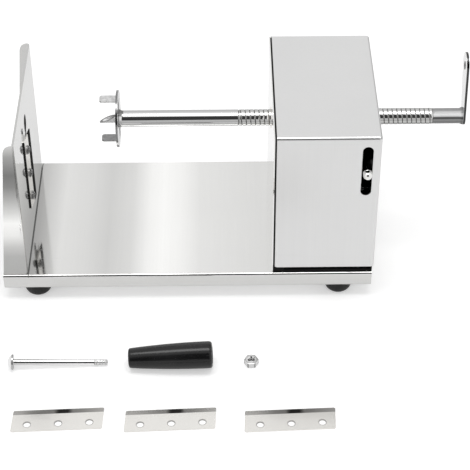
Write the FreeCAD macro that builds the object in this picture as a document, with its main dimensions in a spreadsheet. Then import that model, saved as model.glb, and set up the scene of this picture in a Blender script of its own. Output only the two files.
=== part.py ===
import FreeCAD, Part

import math
import os
import re
import Sketcher

# Hand cranked tornado potato cutter, millimetres, +Z up.
# Origin: in the middle of the tray's top face. +X runs along the feed shaft from the blade to
# the crank, and -Y is the side that the lever sticks out of. The table is stand_high below.

V = FreeCAD.Vector
doc = FreeCAD.newDocument("tornado_potato_cutter")

# ---------------------------------------------------------------- driving dimensions
SIZES = {
    # base tray: one folded sheet, a channel with its lips turned down and in
    "base_len": 366.0, "base_wid": 183.0, "base_sheet": 1.5, "stand_high": 30.0,
    "lip_depth": 16.6, "return_wid": 31.0, "base_bend": 2.5,
    # feet
    "foot_rad": 14.5, "foot_skirt": 2.0, "foot_inset_x": 32.0, "foot_inset_y": 15.8,
    "foot_pocket_rad": 5.5, "foot_pocket_deep": 6.0,
    # machine screws M5 that hold feet, bracket and housing
    "screw_rad": 2.5, "screw_hole_rad": 2.7, "nut_flats": 8.0, "nut_high": 4.0,
    "head_rad": 4.7, "head_high": 3.0, "washer_high": 1.0, "thread_slack": 0.05,
    "seat_slack": 0.05, "screw_proud": 1.0, "overshoot": 2.0,
    # feed axis
    "axis_y": -2.7, "axis_z": 127.0, "body_wid": 173.0,
    # blade bracket
    "web_x": -158.2, "web_sheet": 2.0, "web_high": 158.5, "flange_foot": 24.3,
    "flange_head": 10.0, "flange_round": 8.0, "web_bend": 2.8, "seam_foot": 20.0,
    "core_hole_rad": 6.2, "core_hole_top": 3.0, "core_hole_low": 6.5, "bracket_pitch": 62.0,
    # blade, measured flat
    "blade_len": 84.0, "blade_wid": 26.3, "blade_thick": 1.2, "blade_edge": 0.6,
    "blade_bevel": 6.0, "blade_slant": 2.0, "blade_round": 1.6, "blade_hole_rad": 3.3,
    "blade_hole_row": 8.0, "blade_hole_first": 13.0, "blade_hole_pitch": 28.7,
    "blade_tilt": 7.0, "blade_drop": 10.5, "seat_wid": 14.0, "slice_gap": 1.6,
    "bolt_rad": 3.0, "bolt_head_rad": 5.0, "bolt_head_high": 3.4, "bolt_nut_flats": 10.0,
    "bolt_nut_high": 5.0, "bolt_washer_rad": 6.2, "nut_lift": 0.2,
    # housing
    "house_left": 86.0, "house_right": 184.7, "house_high": 165.7, "house_sheet": 1.5,
    "house_bend": 3.0, "house_gap": 6.5, "seam": 0.8, "wall_inset": 1.0, "hem_wid": 12.0,
    "fit_gap": 0.3, "panel_round": 3.0, "frame_pitch": 60.0, "frame_inset": 20.0,
    "cover_screw_low": 40.0, "cover_screw_high": 120.0, "roof_screw_wid": 40.0,
    "edge_screw_in": 8.0, "tap_rad": 1.6, "sink_rad": 3.2,
    # lever slot in the front panel
    "slot_shift": 0.3, "slot_half_wid": 5.1, "slot_drop": 29.4, "slot_rise": 28.2,
    # feed shaft
    "shaft_rad": 8.0, "core_rad": 5.2, "shaft_start": -65.5, "thread_start": 51.6,
    "thread_end": 242.4, "thread_pitch": 4.5, "thread_root": 6.3, "ridge_foot": 1.75,
    "ridge_head": 0.9, "ridge_crown": 0.6, "ridge_crest": 0.405, "ridge_sink": 0.3,
    "ridge_end": 0.4, "run_fit": 0.06, "skewer_rad": 2.5,
    "skewer_deep": 110.0, "collar_rad": 7.6, "collar_len": 29.2, "weld": 1.2,
    # bushes
    "bush_rad": 11.0, "bush_flange_rad": 16.0, "bush_flange": 3.0, "bush_len": 14.0,
    "bush_short": 6.0,
    # crank arm, which leans back from upright when the machine rests
    "arm_sheet": 2.5, "crank_throw": 52.0, "arm_hub_rad": 8.8, "arm_end_rad": 13.0,
    "arm_hole_rad": 4.3, "arm_lean": 15.4,
    # fork that drives the potato
    "fork_rad": 28.0, "fork_sheet": 2.0, "tab_wid": 9.6, "tab_len": 16.0, "tab_rad": 23.5,
    "tab_round": 2.5, "spike_rad": 4.0, "spike_len": 17.5, "spike_tail": 9.0,
    # half nut and its lever
    "lever_in": 12.7, "nut_lead": 13.5, "nut_len": 16.0, "nut_half_wid": 12.0,
    "nut_low": 3.0, "nut_top": 13.0, "nut_slack": 0.3, "tooth_tip": 0.6,
    "tooth_base": 1.5, "lever_sheet": 5.0,
    "lever_rise": 18.0, "pivot_in": 26.5, "lever_end": 8.0, "lever_depth": 8.0,
    "lever_nose": 34.0, "lever_knee": 15.0, "nose_top": 8.0,
    "pivot_rad": 4.0, "pivot_head_rad": 6.0, "pivot_head": 1.4, "pivot_nut_flats": 13.0,
    "rod_rad": 4.3,
    "rod_drop": 1.6, "rod_reach": 9.3, "tube_rad": 6.5,
    # lever spring
    "coil_rad": 4.0, "wire_rad": 0.6, "coil_pitch": 2.2, "loop_rad": 5.5, "post_rad": 2.5,
    "post_drop": 66.0,
    "eye_hole_rad": 2.6, "eye_inset": 4.0,
    # pieces that lie in front of the machine
    "grip_len": 80.0, "grip_big": 13.0, "grip_small": 9.6, "grip_bore": 3.3,
    "grip_neck_round": 3.0, "grip_end_round": 6.0, "grip_belly": 0.5,
    "pin_len": 89.5, "pin_head_rad": 7.5, "pin_head": 5.6, "pin_nut_flats": 12.0,
    "pin_nut_high": 6.0,
}

sheet = doc.addObject("Spreadsheet::Sheet", "sizes")
for row, (alias, number) in enumerate(SIZES.items(), start=1):
    sheet.set(f"A{row}", alias)
    sheet.set(f"B{row}", str(number))
    sheet.setAlias(f"B{row}", alias)
doc.recompute()

WORD = re.compile(r"[a-z][a-z_]*")


def bound(formula):
    """The formula with every size name pointed at its cell."""
    return WORD.sub(lambda m: "sizes." + m.group(0) if m.group(0) in SIZES else m.group(0),
                    str(formula))


def size(alias):
    return float(sheet.get(alias))


# ---------------------------------------------------------------- small builders
TURN = {
    "x": FreeCAD.Rotation(V(0, 1, 0), 90),
    "y": FreeCAD.Rotation(V(1, 0, 0), -90),
    "z": FreeCAD.Rotation(),
    "-z": FreeCAD.Rotation(V(1, 0, 0), 180),
    "-x": FreeCAD.Rotation(V(0, 1, 0), -90),
    "-y": FreeCAD.Rotation(V(1, 0, 0), 90),
}


def put(thing, at):
    """Bind the position of a primitive to three formulas."""
    for letter, formula in zip("xyz", at):
        thing.setExpression(f"Placement.Base.{letter}", bound(formula))


def primitive(kind, at, along="z", **formulas):
    thing = doc.addObject(f"Part::{kind}", kind)
    thing.Placement = FreeCAD.Placement(V(), TURN[along])
    for name, formula in formulas.items():
        thing.setExpression(name, bound(formula))
    put(thing, at)
    return thing


def cylinder(at, along, radius, height):
    return primitive("Cylinder", at, along, Radius=radius, Height=height)


def cone(at, along, radius_low, radius_high, height):
    return primitive("Cone", at, along, Radius1=radius_low, Radius2=radius_high, Height=height)


def box(at, length, width, height):
    return primitive("Box", at, "z", Length=length, Width=width, Height=height)


def hexagon(at, along, flats, height):
    """A hexagonal prism given by its width across the flats."""
    prism = doc.addObject("Part::Prism", "Prism")
    prism.Polygon = 6
    prism.Placement = FreeCAD.Placement(V(), TURN[along])
    prism.setExpression("Circumradius", bound(f"({flats}) / sqrt(3)"))
    prism.setExpression("Height", bound(height))
    put(prism, at)
    return prism


def fuse(*things):
    joined = doc.addObject("Part::MultiFuse", "Fuse")
    joined.Shapes = list(things)
    return joined


def cut(solid, *tools):
    removed = doc.addObject("Part::Cut", "Cut")
    removed.Base = solid
    removed.Tool = fuse(*tools) if len(tools) > 1 else tools[0]
    return removed


def common(*things):
    shared = doc.addObject("Part::MultiCommon", "Common")
    shared.Shapes = list(things)
    return shared


def group(*things):
    """Several separate solids that share one node."""
    together = doc.addObject("Part::Compound", "Group")
    together.Links = list(things)
    return together


def shape_feature(shape):
    made = doc.addObject("Part::Feature", "Shape")
    made.Shape = shape
    return made


NODES = []


def node(name, thing):
    thing.Label = name
    NODES.append(thing)
    return thing


# ---------------------------------------------------------------- sketches
def new_body(name):
    return doc.addObject("PartDesign::Body", f"{name}_body")


def plane(body, role):
    return next(f for f in body.Origin.OriginFeatures if f.Role == role)


def new_sketch(body, role):
    sketch = body.newObject("Sketcher::SketchObject", "Sketch")
    sketch.AttachmentSupport = [(plane(body, role), "")]
    sketch.MapMode = "FlatFace"
    return sketch


def hold_point(sketch, geometry, point, across, up):
    """Tie one sketch point to two formulas, measured from the sketch origin."""
    for kind, formula in (("DistanceX", across), ("DistanceY", up)):
        constraint = Sketcher.Constraint(kind, -1, 1, geometry, point, 1.0)
        rank = sketch.addConstraint(constraint)
        sketch.setExpression(f"Constraints[{rank}]", bound(formula))


def add_outline(sketch, corners):
    """A closed run of straight lines through corners given as pairs of formulas."""
    first = sketch.GeometryCount
    count = len(corners)
    for i in range(count):
        angle = 2 * math.pi * i / count
        after = 2 * math.pi * (i + 1) / count
        start = V(10 * math.cos(angle), 10 * math.sin(angle), 0)
        end = V(10 * math.cos(after), 10 * math.sin(after), 0)
        sketch.addGeometry(Part.LineSegment(start, end), False)
    for i in range(count):
        following = first + (i + 1) % count
        sketch.addConstraint(Sketcher.Constraint("Coincident", first + i, 2, following, 1))
    for i, (across, up) in enumerate(corners):
        hold_point(sketch, first + i, 1, across, up)


def add_circle(sketch, across, up, radius):
    circle = sketch.addGeometry(Part.Circle(V(0, 0, 0), V(0, 0, 1), 3), False)
    hold_point(sketch, circle, 3, across, up)
    rank = sketch.addConstraint(Sketcher.Constraint("Radius", circle, 3.0))
    sketch.setExpression(f"Constraints[{rank}]", bound(radius))


def pad(body, sketch, length, symmetric=False, reverse=False):
    feature = body.newObject("PartDesign::Pad", "Pad")
    feature.Profile = sketch
    feature.setExpression("Length", bound(length))
    feature.Midplane = symmetric
    feature.Reversed = reverse
    return feature


def pocket(body, sketch, length, symmetric=True):
    feature = body.newObject("PartDesign::Pocket", "Pocket")
    feature.Profile = sketch
    feature.setExpression("Length", bound(length))
    feature.Midplane = symmetric
    return feature


def round_edges(body, feature, radius, chosen):
    """Round those edges of a feature that the test picks."""
    doc.recompute()
    names = [f"Edge{i}" for i, edge in enumerate(feature.Shape.Edges, start=1) if chosen(edge)]
    rounding = body.newObject("PartDesign::Fillet", "Fillet")
    rounding.Base = (feature, names)
    rounding.setExpression("Radius", bound(radius))
    return rounding


def runs_along(edge, letter):
    """True for a straight edge that is parallel to the named axis."""
    span = edge.Vertexes[-1].Point - edge.Vertexes[0].Point
    straight = len(edge.Vertexes) == 2 and edge.Length - span.Length < 1e-6
    return straight and abs(getattr(span, letter)) > 0.999 * span.Length


def lies_at(edge, **places):
    """True if the middle of an edge has the given coordinates."""
    middle = edge.BoundBox.Center
    return all(abs(getattr(middle, letter) - place) < 0.01 for letter, place in places.items())


# ---------------------------------------------------------------- fasteners
CROWN_SHARE = 0.72
RIM_SHARE = 0.6
BOLT_DOME = 1.25
PIN_DOME = 1.15


def behind(at, along, distance):
    """The point `at` moved back against the direction `along`."""
    sign = 1 if along.startswith("-") else -1
    return [f"({formula}) + ({sign}) * ({distance})" if letter == along[-1] else formula
            for letter, formula in zip("xyz", at)]


def pan_screw(at, along, length):
    """A screw whose head's underside is at `at` and whose shank runs `along`."""
    crown = cone(behind(at, along, "head_high"), along, f"head_rad * {CROWN_SHARE}",
                 "head_rad", f"head_high * (1 - {RIM_SHARE})")
    rim = cylinder(behind(at, along, f"head_high * {RIM_SHARE}"), along, "head_rad",
                   f"head_high * {RIM_SHARE}")
    return fuse(crown, rim, cylinder(at, along, "screw_rad", length))


def flush_screw(at, along, length, radius, head, high):
    """A countersunk screw whose head's top is at `at` and whose shank runs `along`."""
    return fuse(cone(at, along, head, radius, high), cylinder(at, along, radius, length))


def washer(at, along, outer, inner, high="washer_high"):
    return cut(cylinder(at, along, outer, high), cylinder(at, along, inner, high))


def hex_nut(at, along, flats="nut_flats", high="nut_high", radius="screw_rad"):
    body = hexagon(at, along, flats, high)
    return cut(body, cylinder(at, along, f"({radius}) + thread_slack", high))


# ---------------------------------------------------------------- base tray
LIP_LOW = "(-lip_depth)"
TABLE = "(-stand_high)"
FOOT_SPOTS = {
    "foot_front_left": ("-(base_len / 2 - foot_inset_x)", "-(base_wid / 2 - foot_inset_y)"),
    "foot_front_right": ("base_len / 2 - foot_inset_x", "-(base_wid / 2 - foot_inset_y)"),
    "foot_back_left": ("-(base_len / 2 - foot_inset_x)", "base_wid / 2 - foot_inset_y"),
    "foot_back_right": ("base_len / 2 - foot_inset_x", "base_wid / 2 - foot_inset_y"),
}
BRACKET_SPOTS = [("web_x - web_sheet - seam_foot / 2", f"axis_y + ({k}) * bracket_pitch")
                 for k in (-1, 0, 1)]
FRAME_SPOTS = [(x, f"axis_y + ({k}) * frame_pitch")
               for x in ("house_left + frame_inset", "house_right - frame_inset")
               for k in (-1, 1)]


def base_tray():
    """A channel folded from one sheet: top, two lips and two inward returns."""
    body = new_body("base_tray")
    profile = new_sketch(body, "YZ_Plane")
    half = "base_wid / 2"
    inner = f"({half} - base_sheet)"
    shelf = f"({LIP_LOW} + base_sheet)"
    under = "(-base_sheet)"
    right = [(half, LIP_LOW), (f"({half} - return_wid)", LIP_LOW),
             (f"({half} - return_wid)", shelf), (inner, shelf), (inner, under)]
    left = [(f"-({y})", z) for y, z in reversed(right)]
    corners = [(f"-({half})", "0"), (half, "0")] + right + left
    add_outline(profile, corners)
    channel = pad(body, profile, "base_len", symmetric=True)

    half_wid = size("base_wid") / 2
    low = -size("lip_depth")

    def outer_fold(edge):
        return runs_along(edge, "x") and any(
            lies_at(edge, y=side * half_wid, z=z)
            for side in (-1, 1) for z in (0, low))

    def inner_fold(edge):
        inset = half_wid - size("base_sheet")
        return runs_along(edge, "x") and any(
            lies_at(edge, y=side * inset, z=z) for side in (-1, 1)
            for z in (-size("base_sheet"), low + size("base_sheet")))

    folded = round_edges(body, channel, "base_bend", outer_fold)
    round_edges(body, folded, "base_bend - base_sheet", inner_fold)
    through = "base_sheet + 2 * overshoot"
    foot_holes = [cylinder((x, y, f"{LIP_LOW} - overshoot"), "z", "screw_hole_rad", through)
                  for x, y in FOOT_SPOTS.values()]
    top_holes = [cylinder((x, y, "-base_sheet - overshoot"), "z", "screw_hole_rad", through)
                 for x, y in BRACKET_SPOTS + FRAME_SPOTS]
    return cut(body, *foot_holes, *top_holes)


def rubber_foot(x, y):
    """A dome with a flat tread, a straight skirt at the top and a pocket for its screw."""
    ball_high = f"({LIP_LOW} - foot_skirt)"
    below = f"{TABLE} - overshoot"
    ball = primitive("Sphere", (x, y, ball_high), Radius="foot_rad")
    dome = common(ball, cylinder((x, y, TABLE), "z", "foot_rad * 2", f"{ball_high} - {TABLE}"))
    skirt = cylinder((x, y, ball_high), "z", "foot_rad", "foot_skirt")
    pocket_hole = cylinder((x, y, below), "z", "foot_pocket_rad",
                           "foot_pocket_deep + overshoot")
    bore = cylinder((x, y, below), "z", "screw_hole_rad",
                    f"{LIP_LOW} - {TABLE} + 2 * overshoot")
    return cut(fuse(dome, skirt), pocket_hole, bore)


def feet():
    for name, (x, y) in FOOT_SPOTS.items():
        node(name, rubber_foot(x, y))
    seat = f"({TABLE} + foot_pocket_deep - washer_high)"
    reach = f"{LIP_LOW} + base_sheet + nut_high + screw_proud - ({seat})"
    spots = list(FOOT_SPOTS.values())
    node("foot_screws", group(*[pan_screw((x, y, seat), "z", reach) for x, y in spots]))
    node("foot_washers", group(*[
        washer((x, y, seat), "z", "foot_pocket_rad - fit_gap", "screw_hole_rad")
        for x, y in spots]))
    node("foot_nuts", group(*[
        hex_nut((x, y, f"{LIP_LOW} + base_sheet"), "z") for x, y in spots]))


# ---------------------------------------------------------------- blade and its bracket
HEEL_Y = "(axis_y - blade_wid * cos(blade_tilt * 1deg))"
BLADE_TOP = "(axis_z - blade_drop)"


def blade_axes():
    """Directions of the fitted blade: down its length, heel to edge, and outwards."""
    tilt = math.radians(size("blade_tilt"))
    down = V(0, 0, -1)
    to_edge = V(math.sin(tilt), math.cos(tilt), 0)
    outward = V(math.cos(tilt), -math.sin(tilt), 0)
    return down, to_edge, outward


def blade_origin():
    tilt = math.radians(size("blade_tilt"))
    heel_y = size("axis_y") - size("blade_wid") * math.cos(tilt)
    return V(size("web_x"), heel_y, size("axis_z") - size("blade_drop"))


def fitted_blade_placement():
    down, to_edge, outward = blade_axes()
    return FreeCAD.Placement(blade_origin(), FreeCAD.Rotation(down, to_edge, outward, "ZXY"))


def blade(name):
    """A flat slanted strip with three holes and one long bevelled edge."""
    body = new_body(name)
    outline = new_sketch(body, "XY_Plane")
    add_outline(outline, [("-blade_slant", "0"), ("blade_len - blade_slant", "0"),
                          ("blade_len", "blade_wid"), ("0", "blade_wid")])
    for k in range(3):
        add_circle(outline, f"blade_hole_first + {k} * blade_hole_pitch", "blade_hole_row",
                   "blade_hole_rad")
    plate = pad(body, outline, "blade_thick")
    plate = round_edges(body, plate, "blade_round", lambda edge: runs_along(edge, "z"))
    bevel = new_sketch(body, "YZ_Plane")
    add_outline(bevel, [("blade_wid - blade_bevel", "blade_thick"),
                        ("blade_wid + blade_bevel", "2 * blade_edge - blade_thick"),
                        ("blade_wid + blade_bevel", "2 * blade_thick"),
                        ("blade_wid - blade_bevel", "2 * blade_thick")])
    pocket(body, bevel, "blade_len * 3")
    return body


def blade_bracket():
    """A folded sheet that stands across the base: web, two tapered flanges and a foot."""
    body = new_body("bracket")
    plan = new_sketch(body, "XY_Plane")
    back = "(web_x - web_sheet)"
    far = "(web_x - flange_foot)"
    side = "(body_wid / 2)"
    inner = f"({side} - web_sheet)"
    add_outline(plan, [("web_x", f"axis_y - {side}"), ("web_x", f"axis_y + {side}"),
                       (far, f"axis_y + {side}"), (far, f"axis_y + {inner}"),
                       (back, f"axis_y + {inner}"), (back, f"axis_y - {inner}"),
                       (far, f"axis_y - {inner}"), (far, f"axis_y - {side}")])
    stand = pad(body, plan, "web_high")

    def outer_fold(edge):
        half = size("body_wid") / 2
        return runs_along(edge, "z") and any(
            lies_at(edge, x=size("web_x"), y=size("axis_y") + k * half) for k in (-1, 1))

    def inner_fold(edge):
        half = size("body_wid") / 2 - size("web_sheet")
        return runs_along(edge, "z") and any(
            lies_at(edge, x=size("web_x") - size("web_sheet"), y=size("axis_y") + k * half)
            for k in (-1, 1))

    folded = round_edges(body, stand, "web_bend", outer_fold)
    folded = round_edges(body, folded, "web_bend - web_sheet", inner_fold)
    taper = new_sketch(body, "XZ_Plane")
    head = "(web_x - flange_head)"
    above = "web_high + overshoot"
    add_outline(taper, [(far, "0"), (head, "web_high"), (head, above),
                        (f"{far} - overshoot", above), (f"{far} - overshoot", "0")])
    tapered = pocket(body, taper, "body_wid * 3")

    def crown(edge):
        return runs_along(edge, "y") and lies_at(edge, x=size("web_x") - size("flange_head"),
                                                 z=size("web_high"))

    round_edges(body, tapered, "flange_round", crown)

    seat = new_body("blade_seat")
    wedge = new_sketch(seat, "XY_Plane")
    wedge.setExpression("AttachmentOffset.Base.z", bound(f"{BLADE_TOP} - blade_len"))
    ramp = "(web_x + seat_wid * tan(blade_tilt * 1deg))"
    add_outline(wedge, [("web_x - web_sheet / 2", HEEL_Y), ("web_x", HEEL_Y),
                        (ramp, f"{HEEL_Y} + seat_wid"),
                        ("web_x - web_sheet / 2", f"{HEEL_Y} + seat_wid")])
    pad(seat, wedge, "blade_len")

    foot = box((f"{back} - seam_foot", f"axis_y - {inner} + web_bend", "0"),
               "seam_foot + web_sheet / 2", f"2 * {inner} - 2 * web_bend", "web_sheet")
    start = f"({back} - overshoot)"
    through = "web_sheet + 2 * overshoot"
    window = box((start, f"{HEEL_Y} + seat_wid + slice_gap",
                  f"{BLADE_TOP} - blade_len + slice_gap"), "web_sheet + 4 * overshoot",
                 "blade_wid - seat_wid", "blade_len - 2 * slice_gap")
    core_hole = fuse(*[cylinder((start, "axis_y", f"axis_z - {drop}"), "x", "core_hole_rad",
                                through) for drop in ("core_hole_top", "core_hole_low")])
    foot_holes = [cylinder((x, y, "-overshoot"), "z", "screw_hole_rad", through)
                  for x, y in BRACKET_SPOTS]
    return cut(fuse(body, seat, foot), window, core_hole, *foot_holes, *blade_bolt_tools())


def blade_bolt_tools():
    """Round bars through the three holes of the fitted blade, along its outward normal."""
    down, to_edge, outward = blade_axes()
    radius = size("blade_hole_rad")
    start = -(size("web_sheet") + size("seat_wid"))
    end = size("seat_wid")
    bars = []
    for k in range(3):
        along = size("blade_hole_first") + k * size("blade_hole_pitch")
        spot = blade_origin() + down * along + to_edge * size("blade_hole_row")
        bars.append(shape_feature(Part.makeCylinder(radius, end - start,
                                                    spot + outward * start, outward)))
    return bars


def blade_hardware():
    """Bolt, washer and nut at each blade hole, square to the blade."""
    down, to_edge, outward = blade_axes()
    face = size("blade_thick")
    rear = -size("seat_wid") * math.tan(math.radians(size("blade_tilt")))
    rear -= size("web_sheet") + size("nut_lift")
    washer_high = size("washer_high")
    bolts = []
    washers = []
    nuts = []
    for k in range(3):
        along = size("blade_hole_first") + k * size("blade_hole_pitch")
        spot = blade_origin() + down * along + to_edge * size("blade_hole_row")

        def bar(radius, start, end):
            return Part.makeCylinder(radius, end - start, spot + outward * start, outward)

        under_head = face + washer_high
        top = under_head + size("bolt_head_high")
        dome = size("bolt_head_rad") * BOLT_DOME
        crown = Part.makeSphere(dome, spot + outward * (top - dome))
        head = bar(size("bolt_head_rad"), under_head, top + size("overshoot")).common(crown)
        shank = bar(size("bolt_rad"), rear - size("bolt_nut_high") - size("screw_proud"),
                    under_head)
        bolts.append(head.fuse(shank))
        washers.append(bar(size("bolt_washer_rad"), face, under_head).cut(
            bar(size("blade_hole_rad"), face, under_head)))
        corner = size("bolt_nut_flats") / math.sqrt(3)
        ring = [spot + outward * rear + down * (corner * math.cos(math.radians(60 * i)))
                + to_edge * (corner * math.sin(math.radians(60 * i))) for i in range(7)]
        nut = Part.Face(Part.makePolygon(ring)).extrude(outward * -size("bolt_nut_high"))
        nuts.append(nut.cut(bar(size("bolt_rad") + size("thread_slack"),
                                rear - size("bolt_nut_high"), rear)))
    node("blade_bolts", shape_feature(Part.makeCompound(bolts)))
    node("blade_washers", shape_feature(Part.makeCompound(washers)))
    node("blade_nuts", shape_feature(Part.makeCompound(nuts)))


def cutting_station():
    node("blade_bracket", blade_bracket())
    fitted = node("cutting_blade", blade("cutting_blade"))
    fitted.Placement = fitted_blade_placement()
    blade_hardware()
    under = "-base_sheet"
    node("bracket_screws", group(*[
        pan_screw((x, y, "web_sheet"), "-z",
                  "web_sheet + base_sheet + nut_high + screw_proud")
        for x, y in BRACKET_SPOTS]))
    node("bracket_nuts", group(*[
        hex_nut((x, y, under), "-z") for x, y in BRACKET_SPOTS]))


# ---------------------------------------------------------------- housing
SIDE = "(body_wid / 2)"
WALL_RIGHT = "(house_right - house_sheet)"
WALL_LEFT = "(house_left - seam)"
LEVER_X = "(house_right - lever_in)"
PIVOT_Y = f"(axis_y + {SIDE} - pivot_in)"
INSIDE = f"({SIDE} - house_sheet - fit_gap)"
SIDE_HEIGHTS = ("cover_screw_low", "cover_screw_high")
RIGHT_SCREWS = [(f"axis_y + ({k}) * ({INSIDE} - hem_wid / 2)", z) for k in (-1, 1)
                for z in SIDE_HEIGHTS]
RIGHT_SCREWS += [(f"axis_y + ({k}) * roof_screw_wid", "house_high - hem_wid / 2")
                 for k in (-1, 1)]
LEFT_SCREW_X = f"({WALL_LEFT} - house_sheet + edge_screw_in)"


def housing_frame():
    """A folded U inside the cover: left wall, floor and right wall, with hems at the left."""
    body = new_body("frame")
    profile = new_sketch(body, "XZ_Plane")
    floor_top = "house_sheet"
    wall_top = "(house_high - house_sheet - fit_gap)"
    outer = f"({WALL_LEFT} - house_sheet)"
    add_outline(profile, [(outer, "0"), (WALL_RIGHT, "0"),
                          (WALL_RIGHT, wall_top),
                          (f"{WALL_RIGHT} - house_sheet", wall_top),
                          (f"{WALL_RIGHT} - house_sheet", floor_top),
                          (WALL_LEFT, floor_top), (WALL_LEFT, wall_top), (outer, wall_top)])
    pad(body, profile, f"2 * {INSIDE}", symmetric=True)
    body.setExpression("Placement.Base.y", bound("axis_y"))
    face_wid = "(body_wid - 2 * wall_inset)"
    face = box((outer, f"axis_y - {face_wid} / 2", "0"), "house_sheet", face_wid,
               "house_high - wall_inset")
    front_hem = box((outer, f"axis_y - {INSIDE}", "0"), "hem_wid", "house_sheet", wall_top)
    back_hem = box((outer, f"axis_y + {INSIDE} - house_sheet", "0"), "hem_wid",
                   "house_sheet", wall_top)
    top_hem = box((outer, f"axis_y - {INSIDE}", f"{wall_top} - house_sheet"), "hem_wid",
                  f"2 * {INSIDE}", "house_sheet")
    through = "house_sheet + 2 * overshoot"
    left_start = f"{outer} - overshoot"
    right_start = f"{WALL_RIGHT} - house_sheet - overshoot"
    bush_holes = [cylinder((x, "axis_y", "axis_z"), "x", "bush_rad + seat_slack", through)
                  for x in (left_start, right_start)]
    floor_holes = [cylinder((x, y, "-overshoot"), "z", "screw_hole_rad", through)
                   for x, y in FRAME_SPOTS]
    pivot_hole = cylinder((right_start, PIVOT_Y, "axis_z + lever_rise"), "x",
                          "pivot_rad + run_fit", through)
    post_hole = cylinder((right_start, "axis_y - lever_nose + eye_inset",
                          "axis_z - post_drop"), "x", "post_rad + seat_slack", through)
    taps = [cylinder((right_start, y, z), "x", "tap_rad", through) for y, z in RIGHT_SCREWS]
    taps += [cylinder((LEFT_SCREW_X, f"axis_y + {INSIDE} - house_sheet - overshoot", z), "y",
                      "tap_rad", through) for z in SIDE_HEIGHTS]
    return cut(fuse(body, face, front_hem, back_hem, top_hem), *bush_holes, *floor_holes,
               pivot_hole, post_hole, *taps)


def housing_cover():
    """An inverted U over the frame, its right end hemmed inwards, with the lever's slot."""
    body = new_body("cover")
    profile = new_sketch(body, "YZ_Plane")
    profile.setExpression("AttachmentOffset.Base.z", bound("house_left"))
    low = "house_gap"
    inner = f"({SIDE} - house_sheet)"
    under = "(house_high - house_sheet)"
    add_outline(profile, [(f"axis_y - {SIDE}", low), (f"axis_y - {SIDE}", "house_high"),
                          (f"axis_y + {SIDE}", "house_high"), (f"axis_y + {SIDE}", low),
                          (f"axis_y + {inner}", low), (f"axis_y + {inner}", under),
                          (f"axis_y - {inner}", under), (f"axis_y - {inner}", low)])
    shell = pad(body, profile, "house_right - house_left")
    lip = new_sketch(body, "YZ_Plane")
    lip.setExpression("AttachmentOffset.Base.z", bound(WALL_RIGHT))
    mouth = f"({SIDE} - hem_wid)"
    roof = "(house_high - hem_wid)"
    add_outline(lip, [(f"axis_y - {SIDE}", low), (f"axis_y - {SIDE}", "house_high"),
                      (f"axis_y + {SIDE}", "house_high"), (f"axis_y + {SIDE}", low),
                      (f"axis_y + {mouth}", low), (f"axis_y + {mouth}", roof),
                      (f"axis_y - {mouth}", roof), (f"axis_y - {mouth}", low)])
    hemmed = pad(body, lip, "house_sheet")

    half = size("body_wid") / 2
    top = size("house_high")
    right = size("house_right")
    middle = size("axis_y")

    def fold(edge):
        side_fold = any(lies_at(edge, y=middle + k * half, z=top) for k in (-1, 1))
        side_end = any(lies_at(edge, y=middle + k * half, x=right) for k in (-1, 1))
        top_end = lies_at(edge, z=top, x=right)
        return (runs_along(edge, "x") and side_fold) or (
            edge.Length > size("house_high") / 2 and (side_end or top_end))

    folded = round_edges(body, hemmed, "house_bend", fold)
    bottom = size("house_gap")

    def lower_corner(edge):
        return runs_along(edge, "y") and lies_at(edge, x=size("house_left"), z=bottom)

    round_edges(body, folded, "panel_round", lower_corner)
    slot_x = f"{LEVER_X} - slot_shift"
    low_end = "axis_z - slot_drop + slot_half_wid"
    top_end = "axis_z + slot_rise - slot_half_wid"
    front = f"axis_y - {SIDE} - overshoot"
    through = "house_sheet + 2 * overshoot"
    slot = fuse(
        box((f"{slot_x} - slot_half_wid", front, low_end), "2 * slot_half_wid", through,
            f"{top_end} - ({low_end})"),
        cylinder((slot_x, front, low_end), "y", "slot_half_wid", through),
        cylinder((slot_x, front, top_end), "y", "slot_half_wid", through))
    sinks = [cone(("house_right", y, z), "-x", "sink_rad", "tap_rad + fit_gap", "house_sheet")
             for y, z in RIGHT_SCREWS]
    sinks += [cone((LEFT_SCREW_X, f"axis_y + {SIDE}", z), "-y", "sink_rad",
                   "tap_rad + fit_gap", "house_sheet") for z in SIDE_HEIGHTS]
    return cut(body, slot, *sinks)


def bush(at, along, length):
    """A flanged sleeve; `at` is on the outer face of its wall."""
    sign = -1 if along == "-x" else 1
    flange_at = (f"({at[0]}) + ({sign}) * house_sheet", at[1], at[2])
    solid = fuse(cylinder(at, along, "bush_rad", length),
                 cylinder(flange_at, along, "bush_flange_rad", "bush_flange"))
    return cut(solid, cylinder(at, along, "shaft_rad + run_fit", length))


def housing():
    node("housing_frame", housing_frame())
    node("housing_cover", housing_cover())
    left_face = (f"{WALL_LEFT} - house_sheet", "axis_y", "axis_z")
    node("left_bush", bush(left_face, "x", "bush_len"))
    node("right_bush", bush((WALL_RIGHT, "axis_y", "axis_z"), "-x", "bush_short"))
    node("frame_screws", group(*[
        pan_screw((x, y, "house_sheet"), "-z",
                  "house_sheet + base_sheet + nut_high + screw_proud")
        for x, y in FRAME_SPOTS]))
    node("frame_nuts", group(*[
        hex_nut((x, y, "-base_sheet"), "-z") for x, y in FRAME_SPOTS]))
    reach = "house_sheet * 4"
    shank = "tap_rad - thread_slack"
    head = "sink_rad - thread_slack"
    screws = [flush_screw(("house_right", y, z), "-x", reach, shank, head, "house_sheet")
              for y, z in RIGHT_SCREWS]
    screws += [flush_screw((LEFT_SCREW_X, f"axis_y + {SIDE}", z), "-y", reach, shank, head,
                           "house_sheet") for z in SIDE_HEIGHTS]
    node("cover_screws", group(*screws))


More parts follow.
